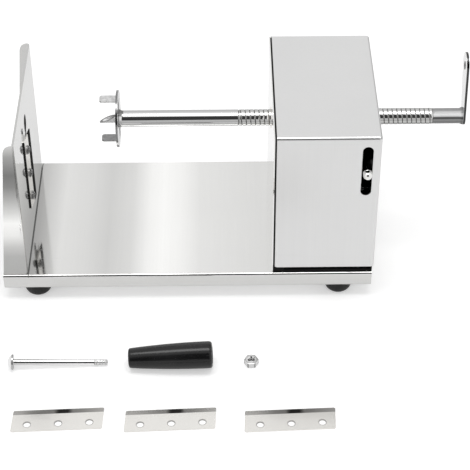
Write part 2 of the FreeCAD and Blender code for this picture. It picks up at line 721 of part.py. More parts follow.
# ---------------------------------------------------------------- feed shaft
def helical_ridge(length, outline, start):
    """Sweep a closed outline, points (radius, along X), round the feed axis."""
    inner = outline[0][0]
    helix = Part.makeLongHelix(size("thread_pitch"), length, inner, 0)
    points = [V(radius, 0, along) for radius, along in outline]
    points.append(points[0])
    shell = Part.BRepOffsetAPI.MakePipeShell(Part.Wire(helix.Edges))
    shell.setFrenetMode(True)
    shell.add(Part.makePolygon(points))
    shell.build()
    shell.makeSolid()
    ridge = shell.shape()
    ridge.Placement = FreeCAD.Placement(V(start, size("axis_y"), size("axis_z")), TURN["x"])
    return ridge


def ridge_margin():
    """How far the ridge's middle keeps from the ends of its sleeve."""
    return size("ridge_foot") + size("ridge_end")


def feed_thread():
    """A sleeve with one right-hand ridge, which turns with the crank."""
    start, end = size("thread_start"), size("thread_end")
    root, crest = size("thread_root"), size("shaft_rad")
    foot, head, top = size("ridge_foot"), size("ridge_head"), size("ridge_crest")
    shoulder = crest - size("ridge_crown")
    buried = root - size("ridge_sink")
    outline = [(buried, -foot), (shoulder, -head), (crest, -top),
               (crest, top), (shoulder, head), (buried, foot)]
    margin = ridge_margin()
    ridge = helical_ridge(end - start - 2 * margin, outline, start + margin)
    axis_point = V(start, size("axis_y"), size("axis_z"))
    sleeve = Part.makeCylinder(root, end - start, axis_point, V(1, 0, 0))
    bore = Part.makeCylinder(size("core_rad") + size("run_fit"), end - start, axis_point,
                             V(1, 0, 0))
    return shape_feature(sleeve.fuse(ridge).cut(bore).Solids[0])


def shaft():
    length = "thread_start - shaft_start"
    full = cylinder(("shaft_start", "axis_y", "axis_z"), "x", "shaft_rad", length)
    thin = cylinder(("thread_start", "axis_y", "axis_z"), "x", "core_rad",
                    "thread_end - thread_start")
    hollow = cylinder(("shaft_start", "axis_y", "axis_z"), "x", "skewer_rad", "skewer_deep")
    socket = cylinder(("shaft_start", "axis_y", "axis_z"), "x", "spike_rad + run_fit",
                      "spike_tail + fit_gap")
    node("shaft_core", cut(fuse(full, thin), hollow, socket))
    node("feed_thread", feed_thread())
    collar = cylinder(("thread_end", "axis_y", "axis_z"), "x", "collar_rad", "collar_len")
    bead = cone(("thread_end + collar_len - weld", "axis_y", "axis_z"), "x", "collar_rad",
                "collar_rad + weld", "weld")
    node("crank_collar", fuse(collar, bead))


def crank_arm():
    """A flat bar between a small round end on the shaft and a larger one for the handle."""
    body = new_body("crank_arm")
    outline = new_sketch(body, "YZ_Plane")
    sine = "((arm_end_rad - arm_hub_rad) / crank_throw)"
    cosine = f"sqrt(1 - {sine} * {sine})"
    hub_side, hub_low = f"(arm_hub_rad * {cosine})", f"(-arm_hub_rad * {sine})"
    end_side, end_low = f"(arm_end_rad * {cosine})", f"(crank_throw - arm_end_rad * {sine})"
    add_outline(outline, [(f"-{hub_side}", hub_low), (hub_side, hub_low),
                          (end_side, end_low), (f"-{end_side}", end_low)])
    pad(body, outline, "arm_sheet")
    hub = cylinder((0, 0, 0), "x", "arm_hub_rad", "arm_sheet")
    end = cylinder((0, 0, "crank_throw"), "x", "arm_end_rad", "arm_sheet")
    hole = cylinder(("-overshoot", 0, "crank_throw"), "x", "arm_hole_rad",
                    "arm_sheet + 2 * overshoot")
    arm = cut(fuse(body, hub, end), hole)
    arm.Placement = FreeCAD.Placement(
        V(size("thread_end") + size("collar_len"), size("axis_y"), size("axis_z")),
        FreeCAD.Rotation(V(1, 0, 0), -size("arm_lean")))
    return arm


def fork_disc():
    """A round plate with two driving tabs cut out of it and bent towards the blade."""
    face = "(shaft_start - fork_sheet)"
    plate = cylinder((face, "axis_y", "axis_z"), "x", "fork_rad", "fork_sheet")
    centre = V(size("shaft_start") - size("fork_sheet"), size("axis_y"), size("axis_z"))
    deep, wide, long = size("fork_sheet"), size("tab_wid"), size("tab_len")
    windows = []
    tabs = []
    for k in range(2):
        turn = FreeCAD.Rotation(V(1, 0, 0), 180 * k)
        window = Part.makeBox(3 * deep, wide, long,
                              V(-deep, -wide / 2, size("tab_rad") + deep / 2 - long))
        tab = Part.makeBox(long + deep, wide, deep,
                           V(-long, -wide / 2, size("tab_rad") - deep / 2))
        tips = [edge for edge in tab.Edges
                if runs_along(edge, "z") and edge.BoundBox.Center.x < 0]
        rounded = tab.makeFillet(size("tab_round"), tips)
        for solid, shelf in ((window, windows), (rounded, tabs)):
            solid.Placement = FreeCAD.Placement(centre, turn)
            shelf.append(shape_feature(solid))
    hole = cylinder((f"{face} - overshoot", "axis_y", "axis_z"), "x",
                    "spike_rad + seat_slack", "fork_sheet + 2 * overshoot")
    return fuse(cut(plate, hole, *windows), *tabs)


SPIKE_SLANT = 1.3


def skewer_spike():
    """A tube cut off at a slant, so that it ends in a point and takes a skewer."""
    face = "(shaft_start - fork_sheet)"
    tube = cylinder((f"{face} - spike_len", "axis_y", "axis_z"), "x", "spike_rad",
                    "spike_len + fork_sheet + spike_tail")
    bore = cylinder((f"{face} - spike_len - overshoot", "axis_y", "axis_z"), "x",
                    "skewer_rad", "spike_len + fork_sheet + spike_tail + 2 * overshoot")
    reach = size("spike_rad") * 2
    tip = V(size("shaft_start") - size("fork_sheet") - size("spike_len"), size("axis_y"),
            size("axis_z") - size("spike_rad"))
    slice_face = Part.Face(Part.makePolygon([
        tip, tip + V(reach * SPIKE_SLANT, 0, reach), tip + V(-reach, 0, reach),
        tip + V(-reach, 0, 0), tip]))
    slice_face.translate(V(0, -reach, 0))
    slant = shape_feature(slice_face.extrude(V(0, 2 * reach, 0)))
    return cut(tube, bore, slant)


def spindle():
    node("crank_arm", crank_arm())
    node("fork_disc", fork_disc())
    node("skewer_spike", skewer_spike())


# ---------------------------------------------------------------- half nut and lever
def half_nut():
    """A block over the shaft whose teeth lie in the thread's groove with slack all round."""
    begin = size("house_right") - size("lever_in") - size("nut_lead")
    length, half_wid = size("nut_len"), size("nut_half_wid")
    low, high = size("nut_low"), size("nut_top")
    axis = V(0, size("axis_y"), size("axis_z"))
    block = Part.makeBox(length, 2 * half_wid, high - low,
                         V(begin, -half_wid, low) + axis)
    slack = size("nut_slack")
    clear = Part.makeCylinder(size("shaft_rad") + slack, length, V(begin, 0, 0) + axis,
                              V(1, 0, 0))
    tip = size("thread_root") + 1.5 * slack
    base = size("shaft_rad") + 2 * slack
    half_tip, half_base = size("tooth_tip"), size("tooth_base")
    outline = [(tip, -half_tip), (base, -half_base), (base, half_base), (tip, half_tip)]
    pitch = size("thread_pitch")
    first = size("thread_start") + ridge_margin()
    turns_before = math.floor((begin - first) / pitch) - 1
    turns = math.ceil(length / pitch) + 3
    teeth = helical_ridge(turns * pitch, outline, first + (turns_before + 0.5) * pitch)
    return shape_feature(block.cut(clear).fuse(teeth.common(block)).removeSplitter())


def half_nut_lever():
    """A flat plate from the pivot over the shaft and down to the rod at the front."""
    body = new_body("lever")
    outline = new_sketch(body, "YZ_Plane")
    outline.setExpression("AttachmentOffset.Base.z", bound(f"{LEVER_X} - lever_sheet / 2"))
    back = PIVOT_Y
    front = "axis_y - lever_nose"
    knee = "axis_y - lever_knee"
    pivot = "axis_z + lever_rise"
    crest = "axis_z + nut_top + lever_depth"
    under = "axis_z + nut_top"
    chin = "(axis_z - rod_drop - rod_rad - eye_inset)"
    add_outline(outline, [
        (f"{back} + lever_end", f"{pivot} + lever_end / 2"),
        (back, f"{pivot} + lever_end"),
        (knee, crest),
        (front, "axis_z + nose_top"),
        (front, chin),
        (knee, chin),
        (knee, under),
        (f"{back} - lever_end * 1.5", under),
        (back, f"{pivot} - lever_end"),
        (f"{back} + lever_end", f"{pivot} - lever_end / 2")])
    add_circle(outline, back, pivot, "pivot_rad + run_fit")
    add_circle(outline, f"{front} + eye_inset", f"{chin} + eye_inset", "eye_hole_rad")
    pad(body, outline, "lever_sheet")
    return body


def lever_rod():
    """A round rod through the slot, with a ball-nosed end."""
    tip_y = f"(axis_y - {SIDE} - rod_reach + rod_rad)"
    high = "axis_z - rod_drop"
    bar = cylinder((LEVER_X, tip_y, high), "y", "rod_rad", f"axis_y - lever_nose - {tip_y}")
    return fuse(bar, primitive("Sphere", (LEVER_X, tip_y, high), Radius="rod_rad"))


def lever_spring():
    """A tension spring: a coil between a loop through the lever and a loop round the post."""
    x = size("house_right") - size("lever_in")
    y = size("axis_y") - size("lever_nose") + size("eye_inset")
    wire, coil, loop = size("wire_rad"), size("coil_rad"), size("loop_rad")
    slack = size("seat_slack")
    eye_z = size("axis_z") - size("rod_drop") - size("rod_rad")
    half_sheet = size("lever_sheet") / 2
    sag = loop - math.sqrt(loop * loop - half_sheet * half_sheet)
    upper_z = eye_z - size("eye_hole_rad") + wire + sag + 2 * slack - loop
    lower_z = size("axis_z") - size("post_drop") - size("post_rad") - slack + loop - wire
    upper = Part.makeTorus(loop, wire, V(x, y, upper_z), V(0, 1, 0))
    lower = Part.makeTorus(loop, wire, V(x, y, lower_z), V(1, 0, 0))
    rise = math.sqrt(loop * loop - coil * coil) + wire * (1 + math.sqrt(2)) + slack
    turns = round((upper_z - lower_z - 2 * rise) / size("coil_pitch") - 0.25) + 0.25
    pitch = (upper_z - lower_z - 2 * rise) / turns
    helix = Part.makeLongHelix(pitch, pitch * turns, coil, 0)
    shell = Part.BRepOffsetAPI.MakePipeShell(Part.Wire(helix.Edges))
    shell.setFrenetMode(True)
    shell.add(Part.Wire(Part.makeCircle(wire, V(coil, 0, 0), V(0, 1, 0))))
    shell.build()
    shell.makeSolid()
    body = shell.shape()
    body.rotate(V(0, 0, 0), V(0, 0, 1), 90)
    body.translate(V(x, y, lower_z + rise))
    return shape_feature(Part.makeCompound([upper, body, lower]))


def clasp():
    node("half_nut", half_nut())
    node("half_nut_lever", half_nut_lever())
    node("lever_rod", lever_rod())
    spot = (PIVOT_Y, "axis_z + lever_rise")
    inside = f"({WALL_RIGHT} - house_sheet)"
    near = f"({LEVER_X} + lever_sheet / 2)"
    far = f"({LEVER_X} - lever_sheet / 2)"
    head = cylinder((WALL_RIGHT, *spot), "x", "pivot_head_rad", "pivot_head")
    tail = "(bolt_nut_high + 2 * screw_proud)"
    stem = cylinder((f"{far} - {tail}", *spot), "x", "pivot_rad",
                    f"{WALL_RIGHT} - {far} + {tail}")
    node("lever_pivot_bolt", fuse(head, stem))
    tube = cylinder((f"{near} + fit_gap", *spot), "x", "tube_rad",
                    f"{inside} - {near} - fit_gap")
    node("lever_spacer", cut(tube, cylinder((near, *spot), "x", "pivot_rad + run_fit",
                                            f"{inside} - {near} + overshoot")))
    node("lever_pivot_nut", hex_nut((f"{far} - fit_gap", *spot), "-x", "pivot_nut_flats",
                                    "bolt_nut_high", "pivot_rad"))
    node("spring_post", cylinder(
        (f"{LEVER_X} - coil_rad", "axis_y - lever_nose + eye_inset", "axis_z - post_drop"),
        "x", "post_rad", f"{WALL_RIGHT} - {LEVER_X} + coil_rad"))
    node("lever_spring", lever_spring())


# ---------------------------------------------------------------- pieces that lie in front
def lay_down(thing, spot, heading, slope=0.0):
    """Turn a loose piece and rest its lowest point on the table."""
    turn = FreeCAD.Rotation(V(0, 0, 1), heading).multiply(FreeCAD.Rotation(V(0, 1, 0), slope))
    thing.Placement = FreeCAD.Placement(V(), turn)
    doc.recompute()
    lowest = thing.Shape.optimalBoundingBox(False, False).ZMin
    thing.Placement = FreeCAD.Placement(V(*spot, -size("stand_high") - lowest), turn)


def corner_arc(x, z, radius, turn):
    """A quarter circle round (x, z): turn is 180 for a left corner and 90 for a right one."""
    start, middle, end = [V(x + radius * math.cos(math.radians(a)), 0,
                            z + radius * math.sin(math.radians(a)))
                          for a in (turn, turn - 45, turn - 90)]
    return Part.Arc(start, middle, end).toShape()


def crank_handle():
    """A turned grip, fuller at the outer end, bored along its length."""
    small, big, length = size("grip_small"), size("grip_big"), size("grip_len")
    neck, butt = size("grip_neck_round"), size("grip_end_round")
    start = V(0, 0, 0)
    end = V(length, 0, 0)
    belly = V(length / 2, 0, (small + big) / 2 + size("grip_belly"))
    outline = [
        Part.makeLine(start, V(0, 0, small - neck)),
        corner_arc(neck, small - neck, neck, 180),
        Part.Arc(V(neck, 0, small), belly, V(length - butt, 0, big)).toShape(),
        corner_arc(length - butt, big - butt, butt, 90),
        Part.makeLine(V(length, 0, big - butt), end),
        Part.makeLine(end, start),
    ]
    solid = Part.Face(Part.Wire(outline)).revolve(start, V(1, 0, 0), 360)
    over = size("overshoot")
    bore = Part.makeCylinder(size("grip_bore"), length + 2 * over, V(-over, 0, 0), V(1, 0, 0))
    return shape_feature(solid.cut(bore))


def handle_bolt():
    """A long bolt with a domed head, which the grip turns on."""
    over = size("overshoot")
    head = Part.makeCylinder(size("pin_head_rad"), size("pin_head") + over, V(-over, 0, 0),
                             V(1, 0, 0))
    ball = size("pin_head_rad") * PIN_DOME
    dome = Part.makeSphere(ball, V(ball, 0, 0))
    shank = Part.makeCylinder(size("bolt_rad"), size("pin_len"), V(size("pin_head"), 0, 0),
                              V(1, 0, 0))
    return shape_feature(head.common(dome).fuse(shank))


GRIP_SPOT = (-55.5, -187.8)
PIN_SPOT = (-171.0, -189.0)
PIN_HEADING = 2.0
NUT_SPOT = (61.5, -186.5)
SPARE_SPOTS = [(-159.3, -271.9), (-55.1, -273.3), (55.5, -274.9)]
SPARE_HEADING = 2.3


def loose_pieces():
    """What lies on the table in front: the crank's grip, its bolt and nut, spare blades."""
    grip = node("crank_handle", crank_handle())
    taper_len = size("grip_len") - size("grip_neck_round") - size("grip_end_round")
    swell = (size("grip_big") - size("grip_small")) / taper_len
    lay_down(grip, GRIP_SPOT, 0.0, -math.degrees(math.asin(swell)))
    bolt = node("handle_bolt", handle_bolt())
    drop = (size("pin_head_rad") - size("bolt_rad")) / size("pin_len")
    lay_down(bolt, PIN_SPOT, PIN_HEADING, math.degrees(math.asin(drop)))
    lay_down(node("handle_nut", hex_nut((0, 0, 0), "z", "pin_nut_flats", "pin_nut_high",
                                        "bolt_rad")), NUT_SPOT, 0.0)
    for k, spot in enumerate(SPARE_SPOTS, start=1):
        lay_down(node(f"spare_blade_{k}", blade(f"spare_blade_{k}")), spot, SPARE_HEADING)


# ---------------------------------------------------------------- whole machine
node("base_tray", base_tray())
feet()
cutting_station()
housing()
shaft()
spindle()
clasp()
loose_pieces()
doc.recompute()

for thing in doc.Objects:
    faults = [word for word in thing.State if word in ("Invalid", "Error")]
    if faults:
        raise RuntimeError(f"{thing.Name} {thing.Label}: {faults}")
os.makedirs("parts", exist_ok=True)
for thing in NODES:
    if thing.Shape.isNull() or not thing.Shape.isValid() or not thing.Shape.Solids:
        raise RuntimeError(f"{thing.Label} has no valid solid")
for thing in NODES:
    thing.Shape.exportStep(f"parts/{thing.Label}.step")
    print(f"{thing.Label:18s} solids {len(thing.Shape.Solids):2d}  "
          f"volume {thing.Shape.Volume:10.1f}")
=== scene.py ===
import math

import bmesh
import bpy
import numpy as np
from bpy.props import FloatProperty, FloatVectorProperty, PointerProperty
from mathutils import Matrix


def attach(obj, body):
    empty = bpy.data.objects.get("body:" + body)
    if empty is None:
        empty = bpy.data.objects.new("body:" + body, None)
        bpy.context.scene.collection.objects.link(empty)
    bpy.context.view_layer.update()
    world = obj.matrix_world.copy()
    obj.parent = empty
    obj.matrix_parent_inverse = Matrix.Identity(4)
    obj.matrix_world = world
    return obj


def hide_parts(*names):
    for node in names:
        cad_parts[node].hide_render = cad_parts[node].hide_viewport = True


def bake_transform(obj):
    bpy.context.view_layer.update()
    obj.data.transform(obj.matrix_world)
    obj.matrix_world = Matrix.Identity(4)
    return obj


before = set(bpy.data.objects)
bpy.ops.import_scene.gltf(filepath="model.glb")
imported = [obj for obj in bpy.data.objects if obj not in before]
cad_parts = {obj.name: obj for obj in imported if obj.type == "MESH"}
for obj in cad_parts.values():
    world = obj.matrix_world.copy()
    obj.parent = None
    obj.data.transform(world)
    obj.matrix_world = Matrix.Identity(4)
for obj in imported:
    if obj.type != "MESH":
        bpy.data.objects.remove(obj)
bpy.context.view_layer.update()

bl_info = {
    "name": "Tornado Potato Cutter",
    "version": (1, 0, 0),
    "blender": (4, 5, 0),
    "location": "3D View > Sidebar > Cutter",
    "description": "Dresses the packed potato cutter with its finishes, fasteners and threads",
    "category": "Object",
}

# Sizes and places of pieces are in millimetres. Materials read Object coordinates, in metres.
MM = 0.001
TURN = 2 * math.pi
X, Y, Z = np.eye(3)
SIDES = (-1, 1)

AXIS_Y, AXIS_Z = -2.7, 127.0
AXIS = (0.0, AXIS_Y, AXIS_Z)
TABLE_Z, LIP_Z = -30.0, -16.6
TRAY_HALF = 183.0
SHEET = 1.5
WEB_X, WEB_HIGH = -158.2, 158.5
HOUSE_RIGHT, HOUSE_BACK = 184.7, 83.8
SHAFT_RAD, SHAFT_START, SHAFT_END = 8.0, -65.5, 242.4
SKEWER_RAD = 2.5
FRAME_SPOTS = [(x, AXIS_Y + side * 60.0) for x in (106.0, 164.7) for side in SIDES]
BRACKET_SPOTS = [(-170.2, AXIS_Y + side * 62.0) for side in (-1, 0, 1)]
FOOT_SPOTS = {f"foot_{row}_{end}": (x, y) for row, y in (("front", -75.7), ("back", 75.7))
              for end, x in (("left", -151.0), ("right", 151.0))}
LEVER_X = 172.0
PIVOT = (57.3, 145.0)
POST = (-32.7, 61.0)
BLADE_LEN, BLADE_WID = 84.0, 26.3
BLADE_HOLES, BLADE_HOLE_ROW = (13.0, 41.7, 70.4), 8.0
BLADE_TILT = math.radians(7.0)
MAP_MARGIN = 4.0
SPARE_SPOTS = [(-159.3, -271.9), (-55.1, -273.3), (55.5, -274.9)]
SPARE_HEADING = math.radians(2.3)


# ---- surfaces from numbers
def unit(vector):
    return np.asarray(vector, float) / np.linalg.norm(vector)


def angles(steps=64):
    """A full turn in equal steps, with both ends, so that the last column meets the first."""
    return np.linspace(0.0, TURN, steps + 1)


def grid_faces(rows, columns, closed=False):
    """Quads between neighbouring points of a grid that is numbered row by row."""
    r, c = np.meshgrid(np.arange(rows if closed else rows - 1), np.arange(columns - 1),
                       indexing="ij")
    up = (r + 1) % rows
    corners = [r * columns + c, r * columns + c + 1, up * columns + c + 1, up * columns + c]
    return np.stack(corners, -1).reshape(-1, 4)


def turned(rows, at, along, across=None, closed=False, steps=64):
    """A surface of revolution: at + along * height + radius * (cos a * across + sin a * side).

    A row is a height, a radius and, if it has any, a darkening: painted shade in hollows,
    rims and flats, and soot at welds. Each is one number or one number per angle. A closed
    section joins its last row to its first, as a ring's does.
    """
    height, radius, grime = (
        np.stack([np.broadcast_to(value, steps + 1) for value in column]).astype(float)
        for column in zip(*((*row, 0.0)[:3] for row in rows)))
    along = unit(along)
    if across is None:
        across = X if abs(along[2]) > 0.7 else Z
    across = unit(across - along * np.dot(across, along))
    side = np.cross(along, across)
    a = angles(steps)[None, :, None]
    ring = np.cos(a) * across + np.sin(a) * side
    points = np.asarray(at, float) + height[..., None] * along + radius[..., None] * ring
    return points.reshape(-1, 3), grid_faces(*height.shape, closed), grime.reshape(-1)


def softened(outline, radius, steps=4):
    """An open outline whose inner corners P become parabolas from A to B.

    Each is (1 - t)^2 A + 2 t (1 - t) P + t^2 B, where A and B lie on the two sides, one
    radius or at most 0.45 of the side from P.
    """
    p = np.asarray(outline, float)
    reach = np.broadcast_to(radius, len(p) - 2)[:, None]
    back, on = p[:-2] - p[1:-1], p[2:] - p[1:-1]
    a, b = (p[1:-1] + way * np.minimum(reach / np.linalg.norm(way, axis=1)[:, None], 0.45)
            for way in (back, on))
    t = np.linspace(0.0, 1.0, steps)[None, :, None]
    bends = (1 - t) ** 2 * a[:, None] + 2 * t * (1 - t) * p[1:-1][:, None] + t ** 2 * b[:, None]
    return np.concatenate([p[:1], bends.reshape(-1, 2), p[-1:]])


def softened_ring(outline, radius):
    """A closed outline with every corner softened."""
    p = np.asarray(outline, float)
    return softened(np.concatenate([p[-1:], p, p[:1]]), radius)[1:-1]


def threaded(start, end, root, crest, pitch, ridge, lead=0.0, fade=1.0, steps=64):
    """Rows of a screw thread between two ends, whose painted shade is 1 at the root.

    Row by row the height climbs one pitch per turn and is held between the ends. The radius
    is root + (crest - root) * rise, where rise follows the ridge's outline by the distance
    to the nearest ridge, in pitches, and fades out at both ends.
    """
    away, rise = ridge
    first = np.concatenate([-np.asarray(away)[::-1], np.asarray(away)[1:]])
    count = math.ceil((end - start) / pitch) + 2
    rows = (np.arange(-1, count)[:, None] + first[None, :-1]).reshape(-1) * pitch + start
    turn = angles(steps)[None, :] / TURN
    height = np.clip(rows[:, None] + (turn + lead / pitch) * pitch, start, end)
    phase = (height - start - lead) / pitch - turn
    level = np.interp(np.abs(phase - np.round(phase)), away, rise)
    level = level * np.clip(np.minimum(height - start, end - height) / fade, 0.0, 1.0)
    return list(zip(height, root + (crest - root) * level, 1.0 - level))


FINE_RIDGE = ([0.0, 0.08, 0.42, 0.5], [1.0, 1.0, 0.0, 0.0])


def hex_nut(at, along, flats, high, bore, across=None):
    """A ring whose outer radius is a hexagon's, cut back by a 30 degree cone at both faces.

    The hexagon's radius is half flats / cos of the angle from the nearest side's middle.
    """
    steps, grooves = 72, 9
    a = angles(steps)
    side = flats / 2 / np.cos(a % (TURN / 6) - TURN / 12)
    # Painted shade: both faces and the flats are darkened, the flats more towards their
    # corners, and every other ring in the bore darker still.
    corner = np.clip(3.0 - np.abs(((a + TURN / 12) % (TURN / 6)) - TURN / 12) * 24, 0.0, 1.0)
    painted_flat_shade = 0.35 + 0.35 * corner
    flat, mouth = flats / 2 * 0.97, bore + 0.7
    slope = (side - flat) * math.tan(math.radians(30))
    rows = [(0, mouth, 0.5), (0, flat, 0.6), (slope, side, painted_flat_shade), (high - slope, side, painted_flat_shade),
            (high, flat, 0.55), (high, mouth, 0.25)]
    rows += [(h, bore + 0.35 * (k % 2), 0.9 * (k % 2) + 0.1)
             for k, h in enumerate(np.linspace(high - 0.9, 0.9, grooves))]
    return turned(rows, at, along, across, True, steps)


def flat_ring(at, along, outer, inner, high):
    """A washer: a rectangle with small rounded corners, turned round the axis."""
    return turned(softened_ring([(0, inner), (0, outer), (high, outer), (high, inner)], 0.2),
                  at, along, closed=True)


def screw(at, along, length, shank, head, cross=None, pitch=0.8, plain=0.0, across=None):
    """A screw turned in one: head outline, plain shank, helical thread and pointed end.

    The head is given as (height, radius) pairs from its crown to its rim's underside, with
    heights below nought on the outer side of `at`. A cross (arm, half width, depth) sinks a
    recess in it, whose rim lies on the crown. Its radius is the smaller of arm / cos and
    half width / sin of the angle from the nearest arm.
    """
    head, rows = np.asarray(head, float), []
    if cross:
        arm, half_wid, depth = cross
        off = np.abs((angles() + TURN / 8) % (TURN / 4) - TURN / 8)
        star = np.minimum(arm / np.cos(off), half_wid / np.maximum(np.sin(off), 1e-6))
        crown, top = head[0, 0], np.interp(star, head[:, 1], head[:, 0])
        # Painted shade: the cross recess is dark, darkest at its bottom.
        rows = [(crown + depth, 0, 1.0), (crown + 0.85 * depth, 0.45 * star, 1.0),
                (top + 0.35 * depth, 0.86 * star, 0.8), (top + 0.05 * depth, 0.97 * star, 0.4),
                (top, 1.03 * star, 0.05)]
        head = head[head[:, 1] > 1.12 * arm]
    # Painted shade: the head's outer rim is darker than its crown, and the shank and the
    # thread's roots are darkened too.
    rim = 0.93 * head[:, 1].max()
    rows += [(h, r, 0.52 if r > rim else 0.12) for h, r in head]
    root = shank * 0.86
    rows += [(0, shank, 0.4), (plain, shank, 0.1)]
    rows += [(h, r, 0.6 * dirt_and_shade) for h, r, dirt_and_shade in threaded(
        plain + 0.05, length - 0.5, root, shank, pitch, FINE_RIDGE, fade=pitch)]
    rows += [(length, root - 0.4), (length, 0)]
    return turned(rows, at, along, across)


def domed_head(radius, high, ball):
    """A cap of a ball of that radius, over an upright rim."""
    r = np.linspace(0, radius - 0.25, 14)
    cap = -high + ball - np.sqrt(ball ** 2 - r ** 2)
    rim = [(cap[-1] + 0.3, radius), (-0.3, radius), (0, radius - 0.3)]
    return np.concatenate([np.stack([cap, r], 1), rim])


def machine_screw(at, along, length):
    """An M5 screw, whose pan head's crown bows out to a short upright rim."""
    radius, high = 4.7, 3.0
    head = softened([(-high, 0), (-high, radius * 0.62), (-high * 0.62, radius),
                     (-0.1, radius), (0, radius - 0.15)], 1.1, 5)
    return screw(at, along, length, 2.5, head, cross=(2.5, 0.65, 1.5))


def machine_nut(at, along):
    return hex_nut(at, along, 8.0, 4.0, 2.55)


def flush_screw(at, along):
    """A countersunk screw whose flat head lies level with the sheet."""
    head = [(-1.5, 0.0), (-1.5, 2.9), (-1.4, 3.08), (0.0, 1.5)]
    return screw(np.asarray(at) + SHEET * np.asarray(along), along, 4.5, 1.5, head,
                 cross=(1.7, 0.42, 0.9), pitch=0.5)


def wire(path, radius, steps=12):
    """A round tube on a path: point + radius * (cos a * side + sin a * up) at each angle.

    Side is square to the path and to a fixed slant that the path never follows.
    """
    ahead = np.gradient(path, axis=0)
    ahead /= np.linalg.norm(ahead, axis=1)[:, None]
    side = np.cross(ahead, unit((1, 1, 1)))
    side /= np.linalg.norm(side, axis=1)[:, None]
    up = np.cross(side, ahead)
    a = angles(steps)[None, :, None]
    swell = np.full(len(path), radius)
    swell[[0, -1]] = 0.0
    ring = np.cos(a) * side[:, None] + np.sin(a) * up[:, None]
    points = (path[:, None] + swell[:, None, None] * ring).reshape(-1, 3)
    return points, grid_faces(len(path), steps + 1), np.zeros(len(points))


# ---- pieces
def merge(source, mesh, near, clean):
    """Writes a mesh into another one with its doubles merged and its faces turned out."""
    form = bmesh.new()
    form.from_mesh(source)
    bmesh.ops.remove_doubles(form, verts=form.verts, dist=near)
    clean(form)
    bmesh.ops.recalc_face_normals(form, faces=form.faces)
    form.to_mesh(mesh)
    form.free()


def joined(name, shells):
    """One mesh in metres from shells of points, quads and darkening (painted shade and soot).
    """
    points, faces, grime = zip(*shells)
    first = np.cumsum([0, *map(len, points)])
    faces = np.concatenate([quads + start for quads, start in zip(faces, first)])
    mesh = bpy.data.meshes.new(name)
    mesh.from_pydata((np.concatenate(points) * MM).tolist(), [], faces.tolist())
    dirt_and_shade = mesh.attributes.new("grime", "FLOAT", "POINT")
    dirt_and_shade.data.foreach_set("value", np.concatenate(grime).astype(np.float32))
    merge(mesh, mesh, 2e-6, lambda form: bmesh.ops.dissolve_degenerate(
        form, edges=form.edges, dist=1e-7))
    return mesh


def linked(name, data):
    """A new object in the scene."""
    thing = bpy.data.objects.new(name, data)
    bpy.context.scene.collection.objects.link(thing)
    return thing


def place(name, mesh, body, material, slot=None, crease=32.0):
    """Adds a mesh to the scene. With a slot, it stands for the node that it is named after."""
    mesh.shade_smooth()
    mesh.set_sharp_from_angle(angle=math.radians(crease))
    mesh.materials.append(material)
    thing = linked(name, mesh)
    if body:
        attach(thing, body)
    if slot:
        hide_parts(name.split(".")[0])
    return thing


def piece(name, shells, body, finish, slot, crease=32.0):
    return place(name, joined(name, shells), body, finished(finish), slot, crease)


def ring_piece(name, rows, body, finish, slot, at=AXIS, along=X, steps=96, crease=32.0):
    """One closed section turned round an axis, which is the shaft's unless it is given."""
    piece(name, [turned(rows, at, along, closed=True, steps=steps)], body, finish, slot,
          crease)


def fasteners(name, shells, finish="zinc_plate"):
    """Screws, nuts, washers or pins that stay on the frame."""
    piece(name, shells, "frame", finish, "zinc_steel")


def blade(node, origin, along, across, finish):
    """A merged copy of a blade's node with a map: u down its length, v across its width."""
    name = node + ".ground"
    mesh, clean = bpy.data.meshes.new(name), bpy.data.meshes.new(name)
    merge(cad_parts[node].data, mesh, 1e-5, lambda form: bmesh.ops.dissolve_limit(
        form, angle_limit=math.radians(0.5), verts=form.verts, edges=form.edges))
    co = np.zeros(len(mesh.vertices) * 3)
    mesh.vertices.foreach_get("co", co)
    co = co.reshape(-1, 3)
    clean.from_pydata(co.tolist(), [], [list(face.vertices) for face in mesh.polygons])
    bpy.data.meshes.remove(mesh)
    corner = np.zeros(len(clean.loops), np.int32)
    clean.loops.foreach_get("vertex_index", corner)
    off = co[corner] / MM - np.asarray(origin, float)
    spot = [(off @ unit(way) + MAP_MARGIN) / (size + 2 * MAP_MARGIN)
            for way, size in ((along, BLADE_LEN), (across, BLADE_WID))]
    layer = clean.uv_layers.new(name="blade")
    layer.data.foreach_set("uv", np.stack(spot, 1).astype(np.float32).reshape(-1))
    place(name, clean, "frame", finished(finish), "blade_steel", 24.0)


def dress(node, finish):
    """Gives a carried-over node its finish."""
    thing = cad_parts[node]
    if not thing.material_slots:
        thing.data.materials.append(finished(finish))
    for slot in thing.material_slots:
        slot.material = finished(finish)


# ---- nodes
def maths(operation, reflected=False):
    """A method of Value that adds a Math node, whose values it may take in reverse."""
    def method(self, *others):
        values = (*others, self) if reflected else (self, *others)
        return self.nodes.add("ShaderNodeMath", {"operation": operation},
                              dict(enumerate(values)))
    return method


class Value:
    """One socket. Python's operators on it add Math nodes."""

    def __init__(self, nodes, socket):
        self.nodes = nodes
        self.socket = socket

    __add__ = __radd__ = maths("ADD")
    __mul__ = __rmul__ = maths("MULTIPLY")
    __sub__, __rsub__ = maths("SUBTRACT"), maths("SUBTRACT", True)
    __truediv__, __rtruediv__ = maths("DIVIDE"), maths("DIVIDE", True)
    __pow__, __rpow__ = maths("POWER"), maths("POWER", True)
    size = maths("ABSOLUTE")
    most = maths("MAXIMUM")
    angle = maths("ARCTAN2")  # in radians, of this value over the other one

    def step(self, low, high, at_low=0.0, at_high=1.0):
        """Goes smoothly from one value to another as this one goes from low to high."""
        return self.nodes.add("ShaderNodeMapRange", {"interpolation_type": "SMOOTHSTEP"},
                              {0: self, 1: low, 2: high, 3: at_low, 4: at_high})

    def fall(self, low, high, at_low=1.0):
        return self.step(low, high, at_low, 0.0)

    def window(self, low, low_end, high, high_end):
        """1 from the end of the low step to the start of the high one, and 0 outside."""
        return self.step(low, low_end) * self.fall(high, high_end)


